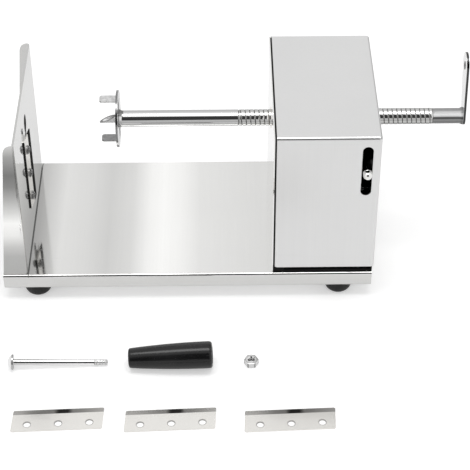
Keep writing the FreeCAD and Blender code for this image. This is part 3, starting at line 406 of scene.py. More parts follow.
class Nodes:
    """The node tree of a material or world. Every node comes from add().

    Its x, y and z are the surface point's coordinates in metres, or the world's direction.
    """

    def __init__(self, owner, space="Object"):
        owner.use_nodes = True
        self.owner = owner
        self.tree = owner.node_tree
        self.tree.nodes.clear()
        self.coords = self.add("ShaderNodeTexCoord", output=space)
        self.x, self.y, self.z = self.split(self.coords)

    def add(self, kind, settings=None, inputs=None, output=0):
        """Adds a node: its settings come first, then its sockets' values or links."""
        node = self.tree.nodes.new(kind)
        for key, value in (settings or {}).items():
            if key == "stops":
                self.set_stops(node.color_ramp, value)
            else:
                setattr(node, key, value)
        for key, value in (inputs or {}).items():
            socket = node.inputs[key]
            if isinstance(value, Value):
                self.tree.links.new(value.socket, socket)
            else:
                socket.default_value = value
        return Value(self, node.outputs[output]) if node.outputs else None

    @staticmethod
    def set_stops(ramp, stops):
        while len(ramp.elements) < len(stops):
            ramp.elements.new(0.5)
        for element, (position, tone) in zip(ramp.elements, stops):
            element.position = position
            element.color = (tone, tone, tone, 1.0)

    def split(self, vector):
        """A vector's three parts."""
        node = self.add("ShaderNodeSeparateXYZ", {}, {0: vector}).socket.node
        return [Value(self, socket) for socket in node.outputs]

    def from_axis(self):
        """How far the surface point lies from the shaft's axis, along Y and along Z."""
        return self.y - AXIS_Y * MM, self.z - AXIS_Z * MM

    def ramp(self, value, stops):
        """A grey for each value, between stops that are in the value's own unit."""
        low, high = stops[0][0], stops[-1][0]
        scaled = [((place - low) / (high - low), tone) for place, tone in stops]
        return self.add("ShaderNodeValToRGB", {"stops": scaled},
                        {"Fac": (value - low) / (high - low)})

    def grain(self, scale, detail=3.0, roughness=0.55, tilt=(0.0, 0.0, 0.0), vector=None):
        """Noise from -0.5 to 0.5, stretched by a scale in cells per metre along each axis."""
        spot = self.add("ShaderNodeMapping", {}, {
            "Vector": vector or self.coords, "Rotation": tilt, "Scale": scale})
        return self.add("ShaderNodeTexNoise", {}, {
            "Vector": spot, "Scale": 1.0, "Detail": detail, "Roughness": roughness}) - 0.5

    def cloud(self, scale, detail=3.0, roughness=0.55):
        return self.grain((scale, scale, scale), detail, roughness)

    def cells(self, scale, output=0):
        return self.add("ShaderNodeTexVoronoi", {"feature": "F1"}, {
            "Vector": self.coords, "Scale": scale}, output)

    def scratches(self, scale, rare=0.16):
        """Thin lines where stretched noise passes its rare peaks, in two slants."""
        slants = (scale, (0.3, 0.5, 0.35)), (scale[::-1], (-0.4, 0.2, -0.7))
        one, other = (self.grain(stretch, 2.0, 0.5, tilt).step(rare, rare + 0.05)
                      for stretch, tilt in slants)
        return one.most(other)

    def blend(self, factor, a, b, way="MIX"):
        """Mixes two colours."""
        a, b = (c if isinstance(c, Value) else (*tuple(c)[:3], 1.0) for c in (a, b))
        return self.add("ShaderNodeMix", {"data_type": "RGBA", "blend_type": way},
                        {0: factor, 6: a, 7: b}, 2)

    def shade(self, colour, amount):
        """A colour multiplied by a value."""
        grey = self.add("ShaderNodeCombineColor", {}, {0: amount, 1: amount, 2: amount})
        return self.blend(1.0, colour, grey, "MULTIPLY")

    def grime(self):
        # Each point's stored darkening: painted shade in grooves, bores, rims and flats, and
        # soot at welds.
        return self.add("ShaderNodeAttribute", {"attribute_name": "grime"}, {}, "Fac")

    def ray(self, kind):
        return self.add("ShaderNodeLightPath", output=f"Is {kind} Ray")

    def surface(self, bump, **inputs):
        """Ends a material in a Principled shader: bump is height, distance and strength."""
        inputs = {key.replace("_", " "): value for key, value in inputs.items()}
        inputs["Normal"] = self.add("ShaderNodeBump", {}, dict(zip(
            ("Height", "Distance", "Strength"), bump)))
        shader = self.add("ShaderNodeBsdfPrincipled", {}, inputs)
        self.add("ShaderNodeOutputMaterial", {}, {"Surface": shader})
        return self.owner


# ---- tones and stains
def tray_painted_reflections(nodes):
    """Painted reflections: long soft bands along the tray, for the room that a polished channel
    reflects.
    """
    half = TRAY_HALF * MM
    bands = nodes.ramp(nodes.x, [
        (-half, .62), (-0.156, .54), (-0.129, .78), (-0.104, .74), (-0.082, .66),
        (-0.058, .74), (-0.040, .94), (-0.026, 1.0), (-0.008, .94), (0.012, .81),
        (0.074, .74), (half, .79)])
    top = nodes.z.step(-0.0030, -0.0012)
    return bands * top + 0.69 * (1 - top)


def tray_seam_shade(nodes):
    """Painted shade: a dark line where the bracket's web stands."""
    seam = (nodes.x + 0.1579).size().fall(0.0002, 0.0008, 0.7)
    return seam * nodes.z.step(-0.0030, -0.0012)


def bracket_painted_reflections(nodes):
    """Painted reflections: the near flange is banded along its height, the far flange is a
    little brighter, and the web fades a little downwards.
    """
    stops = [(0.0, .45), (.150, .47), (.230, .60), (.320, .86), (.42, .95), (.50, .70),
             (.60, .47), (.70, .27), (.79, .21), (.86, .29), (.93, .38), (1.0, .62)]
    bands = nodes.ramp(nodes.z, [(p * WEB_HIGH * MM, tone) for p, tone in stops])
    near = nodes.y.step(-0.0868, -0.0884)
    far = nodes.y.step(0.0812, 0.0820)
    low = nodes.z.step(0.02, 0.13, 0.82, 1.0)
    return bands * near * 1.66 + (0.92 + far * 0.06) * low * (1 - near)


def bracket_painted_shade(nodes):
    """Painted shade: a dark line at the foot of the web, and a dark ring round the core's hole.
    """
    seam = nodes.z.fall(0.0002, 0.0008, 0.7)
    seam = seam * nodes.x.step(-0.1600, -0.1590)
    along = ((nodes.z - 0.12225).size() - 0.00175).most(0.0)
    over = nodes.from_axis()[0]
    return seam.most(((along * along + over * over) ** 0.5).fall(0.0068, 0.0082, 0.93))


def cover_painted_light(nodes):
    """Painted shade inside and along the right bend, and painted light that makes the front a
    little brighter than the top.
    """
    x, y, z = nodes.x, nodes.y, nodes.z
    inside = y.window(-0.0880, -0.0876, 0.0826, 0.0832) * z.fall(0.1643, 0.1647)
    inside = inside * x.fall(0.1830, 0.1834)
    bend = x.step(0.1826, 0.1838) * z.step(0.1640, 0.1650)
    return (1 - inside * 0.8) * (1 - bend * 0.45) * (1 + y.fall(-0.0882, -0.0876) * 0.07)


def cover_painted_shade(nodes):
    """Painted shade on the left edge beside the gap to the frame, and in the gap where the
    bends meet at the right front corner.
    """
    x, y, z = nodes.x, nodes.y, nodes.z
    off = [x - 0.1843, y + 0.0888, z - 0.1653]
    away = (off[0] * off[0] + off[1] * off[1] + off[2] * off[2]) ** 0.5
    return x.fall(0.0863, 0.0867, 0.93).most(away.fall(0.0010, 0.0022, 0.85))


def frame_inside_shade(nodes):
    """Painted shade inside the housing."""
    return 0.92 - nodes.x.window(0.0845, 0.0850, 0.1822, 0.1828) * 0.74


def frame_painted_shade(nodes):
    """Painted shade in the seam beside the cover, on the foot under its front, and on a band
    inside by the lever.
    """
    x, y, z = nodes.x, nodes.y, nodes.z
    seam = x.window(0.0846, 0.0851, 0.0868, 0.0878)
    low = z.fall(0.0080, 0.0088) * x.step(0.0842, 0.0850) * y.size().step(0.0800, 0.0810)
    return seam.most(low).most(x.window(0.1808, 0.1812, 0.1822, 0.1828)) * 0.95


def around(nodes, stops):
    """Painted reflection tones by the angle in degrees round the shaft's axis, from the top to
    the front.
    """
    y, z = nodes.from_axis()
    return nodes.ramp((y * -1).angle(z), [(math.radians(turn), tone) for turn, tone in stops])


def bar_painted_reflections(nodes):
    """Painted reflections: long bands along a polished bar."""
    return around(nodes, [
        (-180, .85), (-120, .60), (-70, .45), (-40, .30), (-20, .44), (0, .56), (12, .66),
        (20, 1.0), (64, .90), (72, .56), (80, .52), (84, .36), (90, .60), (100, .60),
        (107, .45), (140, .35), (160, .80), (180, .85)])


def collar_painted_reflections(nodes):
    """Painted reflections on a brushed collar: broad grey above, a bright band, and a dark line
    below it.
    """
    return around(nodes, [
        (-180, .50), (-60, .35), (-5, .28), (10, .34), (22, .46), (33, .42), (42, .95),
        (58, 1.0), (62, .30), (70, .06), (76, .08), (82, .30), (90, .36), (97, .24),
        (140, .28), (180, .50)])


def fork_painted_reflections(nodes):
    """Painted reflections: the lower tab is duller than the upper one, and the disc is brighter
    than both, with a darker rim.
    """
    disc = nodes.x.step(-0.0690, -0.0680)
    half = nodes.z.step(0.118, 0.132, 0.40, 0.92)
    y, z = nodes.from_axis()
    rim = ((y * y + z * z) ** 0.5).step(0.0255, 0.0275, 0.85, 0.36)
    return half * (1 - disc) + rim * disc


def arm_painted_shade(nodes):
    """Painted shade: pale faces between dark edges."""
    return 1 - nodes.x.window(0.27165, 0.27190, 0.27380, 0.27405) * 0.925


# ---- finishes
def rolled_sheet(nodes, tint, roughness, scale, tone=None, painted_shade=None, dull=0.05, polish=0.4,
                 patch=14.0):
    """Rolled stainless sheet: fine grain one way, clouds of handling, hair scratches.

    Its tone argument multiplies the tint with painted reflections and painted shade, where
    the sheet shows lighter or darker. Its shade argument is 1 where shade is painted into a
    seam, gap or hollow, and there it hides the metal.
    """
    fine = nodes.grain(scale, 4.0, 0.6)
    cloud = nodes.cloud(patch, 3.0, 0.5)
    marks = nodes.scratches((9.0, 700.0, 260.0))
    level = 0.985 + fine * 0.05 + cloud * dull
    steel = nodes.shade(tint, level * tone(nodes) if tone else level)
    metal = 1.0
    if painted_shade:
        # Painted shade turns the metal near black here.
        dirt_and_shade = painted_shade(nodes)
        steel = nodes.blend(dirt_and_shade, steel, (0.012, 0.012, 0.012))
        metal = 1 - dirt_and_shade
    rough = roughness + cloud * 0.08 + fine * 0.05 + marks * 0.08
    return nodes.surface((fine * polish + marks * -0.5, 0.00002, 0.35), Base_Color=steel,
                         Metallic=metal, Specular_IOR_Level=0.0, Roughness=rough.most(0.03))


def turned_steel(nodes, tint, roughness, along=0, dirt_and_shade=0.75, bump=0.25, tone=None, metal=1.0):
    """Bright turned steel: rings round its length, and painted shade where its grooves, bores
    and rims are, with soot at welds.
    """
    rings = nodes.grain(tuple(2600.0 if way == along else 25.0 for way in range(3)), 3.0, 0.6)
    cloud = nodes.cloud(60.0)
    grime = nodes.grime()
    level = 0.985 + rings * 0.06 + cloud * 0.07
    steel = nodes.shade(tint, level * tone(nodes) if tone else level)
    dark = nodes.blend(grime.step(0.0, 1.0) * dirt_and_shade, steel, (0.035, 0.033, 0.030))
    rough = roughness + grime * 0.22 + cloud * 0.06
    return nodes.surface((rings, 0.00001, bump), Base_Color=dark, Metallic=metal,
                         Roughness=rough.most(0.03))


def zinc_plate(nodes, tint, roughness):
    """Bright zinc plate: spangled patches, tumbling marks, painted shade in recesses."""
    patch = nodes.add("ShaderNodeSeparateColor", {}, {0: nodes.cells(900.0, "Color")}, 0)
    cloud = nodes.cloud(220.0, 4.0, 0.6)
    marks = nodes.scratches((60.0, 1800.0, 900.0), 0.12)
    grime = nodes.grime()
    level = 0.97 + (patch - 0.5) * 0.07 + cloud * 0.12 - marks * 0.06
    metal = nodes.blend(cloud.step(-0.05, 0.25) * 0.35, tint, (0.66, 0.63, 0.56))
    dark = nodes.blend(grime.step(0.05, 1.0) * 0.93, nodes.shade(metal, level),
                       (0.018, 0.017, 0.016))
    rough = roughness + cloud * 0.14 + marks * 0.1 + grime * 0.25
    return nodes.surface((cloud + patch * 0.15, 0.00004, 0.25), Base_Color=dark,
                         Metallic=1.0, Roughness=rough.most(0.05))


def sintered_bronze(nodes, tint, roughness):
    """Oil-soaked bearing bronze: fine pores, turning rings and brown patches."""
    rings = nodes.grain((2400.0, 30.0, 30.0), 2.0, 0.5)
    cloud = nodes.cloud(90.0)
    pit = nodes.cells(2400.0).fall(0.10, 0.24)
    level = 0.95 + cloud * 0.3 + rings * 0.12 - pit * 0.35
    brown = nodes.blend(cloud.step(-0.1, 0.3) * 0.5, tint, (0.30, 0.16, 0.07))
    return nodes.surface((rings * 0.6 - pit, 0.00003, 0.5),
                         Base_Color=nodes.shade(brown, level), Metallic=1.0,
                         Roughness=roughness + cloud * 0.15 + pit * 0.2)


def moulded(nodes, tint, roughness, skin, dust, gloss):
    """Moulded rubber or plastic: a fine skin, flow marks, and dust where it is handled."""
    orange = nodes.cloud(skin)
    flow = nodes.grain((18.0, 60.0, 60.0), 3.0, 0.5)
    marks = nodes.scratches((25.0, 900.0, 420.0), 0.17)
    specks = nodes.cloud(1500.0, 2.0, 0.5).step(0.16, 0.24)
    base = nodes.blend(flow.step(-0.05, 0.3) * 0.35 + marks * 0.5, tint,
                       [v * 2.4 + 0.006 for v in tint])
    base = nodes.blend(specks * dust, base, (0.20, 0.19, 0.18))
    rough = roughness + flow * 0.10 + marks * 0.12 + specks * dust
    return nodes.surface((orange + marks * -0.3, 0.00006, 0.25), Base_Color=base,
                         Roughness=rough.most(0.05), Specular_IOR_Level=gloss)


def ground_blade(nodes, tint, roughness, fitted=False):
    """Ground blade steel on its own map: grain down its length and a darker bevel.

    The bevel carries a painted reflection that darkens to its middle, and each hole keeps a
    narrow dark rim from punching. A fitted blade has a dark painted reflection along its
    bevel and painted shade on its heel.
    """
    spot = nodes.add("ShaderNodeUVMap", {"uv_map": "blade"})
    place_u, place_v = (part * (size + 2 * MAP_MARGIN) - MAP_MARGIN
                        for part, size in zip(nodes.split(spot), (BLADE_LEN, BLADE_WID)))
    grain = nodes.grain((26.0, 420.0, 1.0), 4.0, 0.6, vector=spot)
    cloud = nodes.grain((7.0, 3.0, 1.0), 3.0, 0.5, vector=spot)
    cross = nodes.grain((900.0, 12.0, 1.0), 3.0, 0.5, vector=spot)
    plain = 0.985 + grain * 0.14 + cloud * 0.06
    if fitted:
        # Painted dark reflection along the bevel and painted shade on the heel.
        bevel = place_v.step(14.6, 15.3)
        painted_bevel_tone = 0.03 + cross * 0.03
        metal = 1 - bevel.most(place_v.fall(0.2, 0.7)) * 0.97
        plain = plain * place_v.step(0.2, 0.7, 0.04, 1.0)
    else:
        # A painted reflection on the bevel, darkest in its middle and lighter towards both
        # ends.
        bevel = place_v.step(20.1, 20.6)
        away = (place_u + cloud * 5.0 - 46.0).size()
        dark = 1 - away.fall(3.5, 9.5) * 0.92
        painted_bevel_tone = away.step(9.0, 44.0, 0.26, 0.50) * dark + cross * 0.08
        painted_bevel_tone = painted_bevel_tone + place_v.step(25.6, 26.1) * 0.3
        metal = 1.0
    over = place_v - BLADE_HOLE_ROW
    rims = [(((place_u - middle) ** 2.0 + over * over) ** 0.5).fall(3.55, 4.15)
            for middle in BLADE_HOLES]
    rim = rims[0].most(rims[1]).most(rims[2])
    level = (plain * (1 - bevel) + bevel * painted_bevel_tone) * (1 - rim * 0.55)
    rough = roughness + grain * 0.10 + bevel * -0.06 + rim * 0.1
    return nodes.surface((grain * (1 - bevel) + cross * bevel, 0.00002, 0.35),
                         Base_Color=nodes.shade(tint, level.most(0.012)), Metallic=metal,
                         Specular_IOR_Level=0.0, Roughness=rough.most(0.05))


def recipes(look):
    """For each finish its maker, colour, roughness and the rest of what the maker takes."""
    sheet, mirror = np.array(look.sheet_colour), look.sheet_polish
    grey = np.ones(3)
    return {
        "tray_sheet": (rolled_sheet, sheet, mirror, dict(
            scale=(900.0, 9.0, 300.0), tone=tray_painted_reflections, painted_shade=tray_seam_shade, polish=0.25)),
        "bracket_sheet": (rolled_sheet, sheet * 0.63, mirror - 0.02, dict(
            scale=(300.0, 9.0, 900.0), tone=bracket_painted_reflections, painted_shade=bracket_painted_shade)),
        "cover_sheet": (rolled_sheet, (0.695, 0.695, 0.693), mirror + 0.24, dict(
            scale=(500.0, 500.0, 9.0), tone=cover_painted_light, painted_shade=cover_painted_shade, polish=0.15)),
        "inner_sheet": (rolled_sheet, sheet * 0.97, mirror - 0.02, dict(
            scale=(700.0, 9.0, 700.0), tone=frame_inside_shade, painted_shade=frame_painted_shade)),
        "fork_sheet": (rolled_sheet, grey * 0.66, mirror + 0.14, dict(
            scale=(60.0, 900.0, 500.0), tone=fork_painted_reflections, dull=0.8, polish=2.0, patch=280.0)),
        "arm_sheet": (rolled_sheet, grey * 0.79, mirror + 0.1, dict(
            scale=(500.0, 300.0, 20.0), tone=arm_painted_shade)),
        "lever_sheet": (rolled_sheet, grey * 0.20, mirror + 0.2, dict(
            scale=(500.0, 300.0, 20.0))),
        "spike_tube": (turned_steel, grey * 0.92, mirror + 0.25, dict(dirt_and_shade=0.9, metal=0.15)),
        "shaft_bar": (turned_steel, grey * 0.93, mirror - 0.02, dict(tone=bar_painted_reflections)),
        "thread_bar": (turned_steel, (0.90, 0.90, 0.89), mirror, dict(
            dirt_and_shade=0.8, bump=0.15, tone=bar_painted_reflections)),
        "collar_bar": (turned_steel, grey * 0.95, mirror + 0.28, dict(
            dirt_and_shade=0.6, tone=collar_painted_reflections, metal=0.2)),
        "block_steel": (turned_steel, sheet * 0.6, mirror + 0.22, dict(along=2)),
        "rod_bar": (turned_steel, sheet * 0.9, mirror, dict(along=1)),
        "spring_wire": (turned_steel, (0.17, 0.165, 0.16), 0.3, dict(along=2)),
        "chrome_pin": (turned_steel, grey * 0.88, 0.09, dict(along=2, dirt_and_shade=0.9)),
        "bolt_steel": (turned_steel, grey * 0.30, 0.22, dict(along=2)),
        "zinc_plate": (zinc_plate, look.zinc_colour, 0.2, {}),
        "bearing_bronze": (sintered_bronze, look.bush_colour, 0.3, {}),
        "foot_rubber": (moulded, look.rubber_colour, 0.34, dict(
            skin=1600.0, dust=0.12, gloss=0.3)),
        "grip_plastic": (moulded, look.grip_colour, 0.2, dict(
            skin=700.0, dust=0.04, gloss=0.36)),
        "blade_steel": (ground_blade, look.blade_colour, 0.24, {}),
        "blade_fitted": (ground_blade, look.blade_colour, 0.3, dict(fitted=True)),
    }


FINISHES = {}


def finished(name):
    """The shared finish of that name, made from the scene's settings when first wanted."""
    if name not in FINISHES:
        maker, tint, roughness, rest = recipes(bpy.context.scene.cutter_finish)[name]
        nodes = Nodes(bpy.data.materials.new(name))
        FINISHES[name] = maker(nodes, tuple(tint), roughness, **rest)
    return FINISHES[name]


# ---- settings
def number(name, description, default, low, high, **kind):
    return FloatProperty(name=name, description=description, default=default, min=low,
                         max=high, **kind)


def length(*values):
    return number(*values, subtype="DISTANCE", unit="LENGTH")


def colour(name, description, default):
    return FloatVectorProperty(name=name, description=description, default=default, min=0.0,
                               max=1.0, subtype="COLOR")


class CutterSizes(bpy.types.PropertyGroup):
    """Sizes of the turned and wound details."""

    thread_pitch: length(
        "Thread pitch", "Distance between two ridges of the feed thread", 0.0045, 0.002, 0.01)
    thread_root: length(
        "Thread root", "Radius at the bottom of the feed thread's groove", 0.0074, 0.0055,
        0.0075)
    coil_radius: length(
        "Coil radius", "Radius of the lever spring's coil", 0.004, 0.002, 0.005)
    wire_radius: length(
        "Wire radius", "Radius of the lever spring's wire", 0.0006, 0.0003, 0.0008)


class CutterFinish(bpy.types.PropertyGroup):
    """Colours and polish of the finishes."""

    sheet_colour: colour(
        "Sheet steel", "Colour of the folded stainless sheets", (0.965, 0.962, 0.948))
    sheet_polish: number(
        "Sheet roughness", "How far the sheets blur what they reflect", 0.08, 0.03, 0.6,
        subtype="FACTOR")
    blade_colour: colour("Blade steel", "Colour of the ground blades", (0.80, 0.785, 0.755))
    zinc_colour: colour(
        "Zinc", "Colour of the plated screws, nuts and washers", (0.78, 0.79, 0.80))
    bush_colour: colour("Bronze", "Colour of the bearing bushes", (0.62, 0.40, 0.19))
    grip_colour: colour("Grip", "Colour of the crank's plastic grip", (0.006, 0.006, 0.0065))
    rubber_colour: colour("Rubber", "Colour of the feet", (0.006, 0.006, 0.006))


class CutterStudio(bpy.types.PropertyGroup):
    """Camera, lamp and surroundings."""

    focal: number(
        "Focal length", "Lens of the camera, in millimetres", 119.62, 20.0, 300.0)
    aim: FloatVectorProperty(
        name="Camera aim", description="Turn to the right, angle below the horizon, and roll",
        default=(0.010021, 0.7093434, 0.0027648), subtype="EULER", unit="ROTATION")
    place: FloatVectorProperty(
        name="Camera place", description="Where the camera stands",
        default=(0.035608, -1.242278, 1.038994), subtype="TRANSLATION", unit="LENGTH")
    lamp_power: number(
        "Softbox power", "Power of the overhead softbox, in watts", 9.0, 0.0, 200.0)
    sky_level: number(
        "Sky level", "Brightness of the room on matt surfaces", 0.62, 0.0, 2.0)
    floor_tone: number(
        "Floor tone", "Lightness of the floor where nothing shades it", 0.42, 0.0, 1.0,
        subtype="FACTOR")


# ---- groups of pieces
class CUTTER_OT_tray(bpy.types.Operator):
    """Finish the folded base tray"""

    bl_idname = "cutter.tray"
    bl_label = "Base tray"

    def execute(self, context):
        dress("base_tray", "tray_sheet")
        return {"FINISHED"}


class CUTTER_OT_feet(bpy.types.Operator):
    """Mould the four rubber feet with their screws, washers and nuts"""

    bl_idname = "cutter.feet"
    bl_label = "Feet"

    def execute(self, context):
        # A foot's bowl: (radius / wide)^curve + (depth / deep)^curve = 1.
        wide, deep, curve = 14.0, 13.6, 3.2
        rim_z, pocket_z, pocket, hole = LIP_Z - 2.0, -24.0, 5.5, 2.7
        z = np.append(np.linspace(rim_z, TABLE_Z + 0.5, 14), TABLE_Z)
        side = wide * (1 - ((rim_z - z) / deep) ** curve) ** (1 / curve)
        bottom = softened([
            (z[-2], side[-2]), (TABLE_Z, side[-1] - 0.4), (TABLE_Z, pocket + 1.1),
            (TABLE_Z, pocket + 0.4), (TABLE_Z + 0.4, pocket), (pocket_z, pocket),
            (pocket_z, hole), (LIP_Z, hole)], 0.5)
        top = softened([(LIP_Z, hole), (LIP_Z, wide), (rim_z, wide)], 0.7, 5)
        bead = [(rim_z + 0.35, wide), (rim_z + 0.15, wide - 0.12)]
        bowl = np.stack([z, side], 1)[:-1]
        section = np.concatenate([top[:-1], bead, bowl, bottom[1:-1]])
        section = section[np.r_[True, np.abs(np.diff(section, axis=0)).sum(1) > 1e-6]]
        for name, (x, y) in FOOT_SPOTS.items():
            ring_piece(name + ".moulded", section, "frame", "foot_rubber", "foot_rubber",
                       (x, y, 0), Z, 72)
        low = [(x, y, pocket_z - 1.0) for x, y in FOOT_SPOTS.values()]
        fasteners("foot_screws.threaded", [machine_screw(at, Z, 14.9) for at in low])
        fasteners("foot_washers.pressed", [flat_ring(at, Z, 5.2, hole, 1.0) for at in low])
        fasteners("foot_nuts.cut", [
            machine_nut((x, y, LIP_Z + SHEET), Z) for x, y in FOOT_SPOTS.values()])
        return {"FINISHED"}


class CUTTER_OT_bracket(bpy.types.Operator):
    """Finish the blade bracket and fasten it to the tray"""

    bl_idname = "cutter.bracket"
    bl_label = "Blade bracket"

    def execute(self, context):
        dress("blade_bracket", "bracket_sheet")
        fasteners("bracket_screws.threaded", [
            machine_screw((x, y, 2.0), -Z, 8.5) for x, y in BRACKET_SPOTS])
        fasteners("bracket_nuts.cut", [
            machine_nut((x, y, -SHEET), -Z) for x, y in BRACKET_SPOTS])
        return {"FINISHED"}


class CUTTER_OT_blades(bpy.types.Operator):
    """Grind the fitted blade and the three spare ones, and bolt the first in place"""

    bl_idname = "cutter.blades"
    bl_label = "Blades"

    def execute(self, context):
        sine, cosine = math.sin(BLADE_TILT), math.cos(BLADE_TILT)
        down = -Z
        to_edge, outward = np.array([sine, cosine, 0.0]), np.array([cosine, -sine, 0.0])
        heel = np.array([WEB_X, AXIS_Y - BLADE_WID * cosine, AXIS_Z - 10.5])
        blade("cutting_blade", heel, down, to_edge, "blade_fitted")
        sine, cosine = math.sin(SPARE_HEADING), math.cos(SPARE_HEADING)
        for k, (x, y) in enumerate(SPARE_SPOTS, start=1):
            blade(f"spare_blade_{k}", (x, y, TABLE_Z), (cosine, sine, 0.0),
                  (-sine, cosine, 0.0), "blade_steel")
        blade_face, washer_face, tail = 1.2, 2.2, 6.0
        rear = -14.0 * math.tan(BLADE_TILT) - 2.2  # the nuts' seat behind the web
        spots = [heel + down * hole + to_edge * BLADE_HOLE_ROW for hole in BLADE_HOLES]
        head = domed_head(radius=3.9, high=2.0, ball=6.4)
        fasteners("blade_bolts.threaded", [
            screw(spot + outward * washer_face, -outward, washer_face - rear + tail, 3.0,
                  head, cross=(3.0, 0.8, 2.2), pitch=1.0, plain=3.6, across=down)
            for spot in spots], "bolt_steel")
        fasteners("blade_washers.pressed", [
            flat_ring(spot + outward * blade_face, outward, outer=4.6, inner=3.3, high=1.0)
            for spot in spots], "bolt_steel")
        fasteners("blade_nuts.cut", [
            hex_nut(spot + outward * rear, -outward, flats=10.0, high=5.0, bore=3.05,
                    across=down) for spot in spots])
        return {"FINISHED"}


class CUTTER_OT_housing(bpy.types.Operator):
    """Finish the housing's cover and inner frame, and screw them together"""

    bl_idname = "cutter.housing"
    bl_label = "Housing"

    def execute(self, context):
        dress("housing_cover", "cover_sheet")
        dress("housing_frame", "inner_sheet")
        heights = (40.0, 120.0)
        right = [(HOUSE_RIGHT, AXIS_Y + side * 78.7, z) for side in SIDES for z in heights]
        right += [(HOUSE_RIGHT, AXIS_Y + side * 40.0, 159.7) for side in SIDES]
        fasteners("cover_screws.threaded", [flush_screw(spot, -X) for spot in right] + [
            flush_screw((91.7, HOUSE_BACK, z), -Y) for z in heights])
        fasteners("frame_screws.threaded", [
            machine_screw((x, y, SHEET), -Z, 8.0) for x, y in FRAME_SPOTS])
        fasteners("frame_nuts.cut", [
            machine_nut((x, y, -SHEET), -Z) for x, y in FRAME_SPOTS])
        return {"FINISHED"}


class CUTTER_OT_bushes(bpy.types.Operator):
    """Turn the two flanged bushes that the shaft runs in"""

    bl_idname = "cutter.bushes"
    bl_label = "Bushes"

    def execute(self, context):
        bore, barrel, flange = SHAFT_RAD + 0.06, 11.0, 16.0
        for name, x, along, deep in (("left_bush", 83.7, X, 14.0),
                                     ("right_bush", HOUSE_RIGHT - SHEET, -X, 6.0)):
            section = softened_ring([
                (0, bore), (0, barrel), (1.5, barrel), (1.5, flange), (4.5, flange),
                (4.5, barrel), (deep, barrel), (deep, bore)], 0.35)
            ring_piece(name + ".turned", section, "frame", "bearing_bronze", "bush_brass",
                       (x, AXIS_Y, AXIS_Z), along)
        return {"FINISHED"}


class CUTTER_OT_shaft(bpy.types.Operator):
    """Turn the feed shaft and its thread"""

    bl_idname = "cutter.shaft"
    bl_label = "Feed shaft"

    def execute(self, context):
        self.turn_core()
        self.roll_thread(context.scene.cutter_sizes)
        return {"FINISHED"}

    @staticmethod
    def turn_core():
        """A bar with a bore, a shoulder and, at its left end, the fork's weld.

        The weld's radius has 0.9 + 0.35 sin(3 a + 0.6) + 0.2 sin(7 a) of a bead on it, and
        a blot of soot lies on its upper side.
        """
        steps, bore_end, neck, shoulder = 96, 44.5, 5.2, 51.6
        a = angles(steps)
        bead = 0.9 + 0.35 * np.sin(3 * a + 0.6) + 0.2 * np.sin(7 * a)
        blot = np.clip((np.cos(a + 0.15) - math.cos(0.95)) * 8, 0.0, 1.0)
        # The bore's rows carry painted shade; the weld's rows carry soot.
        rows = [(bore_end, 0, 1), (bore_end, SKEWER_RAD, 1), (-56.4, SKEWER_RAD, 1),
                (-56.4, 4.03, 1), (SHAFT_START, 4.03, 1)]
        weld = [(SHAFT_START, 8.6, .6), (-65.3, 8.8 + 0.4 * bead, .45),
                (-64.6, 8.75 + 0.5 * bead, .35), (-63.8, 8.4 + 0.35 * bead, .3),
                (-63.0, 8.1 + 0.1 * bead, .2)]
        rows += [(height, radius, np.maximum(blot, dirt_and_shade)) for height, radius, dirt_and_shade in weld]
        rows += [(-62.4, SHAFT_RAD, blot * 0.9), (-62.3, SHAFT_RAD, blot * 0.9),
                 (-61.2, SHAFT_RAD, blot * 0.8), (-60.8, SHAFT_RAD)]
        rows += [(x, SHAFT_RAD) for x in np.linspace(-50.0, 50.0, 11)]
        rows += list(softened([
            (-62.3, SHAFT_RAD), (shoulder, SHAFT_RAD), (shoulder, neck), (SHAFT_END, neck),
            (SHAFT_END, 0.0)], 0.5)[1:])
        piece("shaft_core.turned", [turned(rows, AXIS, X, steps=steps)], "feed",
              "shaft_bar", "shaft_steel")

    @staticmethod
    def roll_thread(sizes):
        """A sleeve with broad flat ridges between narrow round grooves."""
        pitch, root = sizes.thread_pitch / MM, sizes.thread_root / MM
        away = np.array([0, 1.62, 1.74, 1.84, 1.93, 2.01, 2.08, 2.15, 2.25]) / 4.5
        rise = np.array([1.0, 1.0, .96, .84, .55, .24, .08, 0.0, 0.0])
        start, bore = 51.7, 5.26
        ridges = threaded(start, SHAFT_END, root, SHAFT_RAD, pitch, (away, rise),
                          lead=2.05 - pitch / 2, fade=1.2, steps=96)
        # The sleeve's bore carries painted shade, as the thread's roots do.
        rows = [(start + 0.7, bore, 1), (start, bore + 0.7, 1), *ridges, (SHAFT_END, bore, 1)]
        ring_piece("feed_thread.rolled", rows, "spindle", "thread_bar", "shaft_steel",
                   crease=50.0)


class CUTTER_OT_fork(bpy.types.Operator):
    """Finish the fork disc and the hollow spike"""

    bl_idname = "cutter.fork"
    bl_label = "Fork"

    def execute(self, context):
        # The spike's mouth lies on a slant plane: height = tip + reach (1 + r / outer cos a).
        dress("fork_disc", "fork_sheet")
        steps, tip, tail, outer, bore, reach = 72, -85.0, -56.5, 4.0, SKEWER_RAD, 8.3
        up = np.cos(angles(steps))
        # Painted shade darkens the tail's end face and the cut rim of the mouth, and the
        # outside a little.
        rows = [(tail, bore + 0.1, 1), (tail, outer - 0.15, 1), (tail - 0.2, outer, .2),
                (-67.8, outer, .2)]
        rows += [(tip + reach * (1 + radius / outer * up) + inset, radius, dirt_and_shade)
                 for radius, inset, dirt_and_shade in ((outer, 0.25, .3), (outer - 0.1, 0.0, .75),
                                             (bore + 0.1, 0.0, .75), (bore, 0.3, 0))]
        rows += [(-67.3, bore)]
        ring_piece("skewer_spike.ground", rows, "spindle", "spike_tube", "fork_steel",
                   steps=steps)
        return {"FINISHED"}


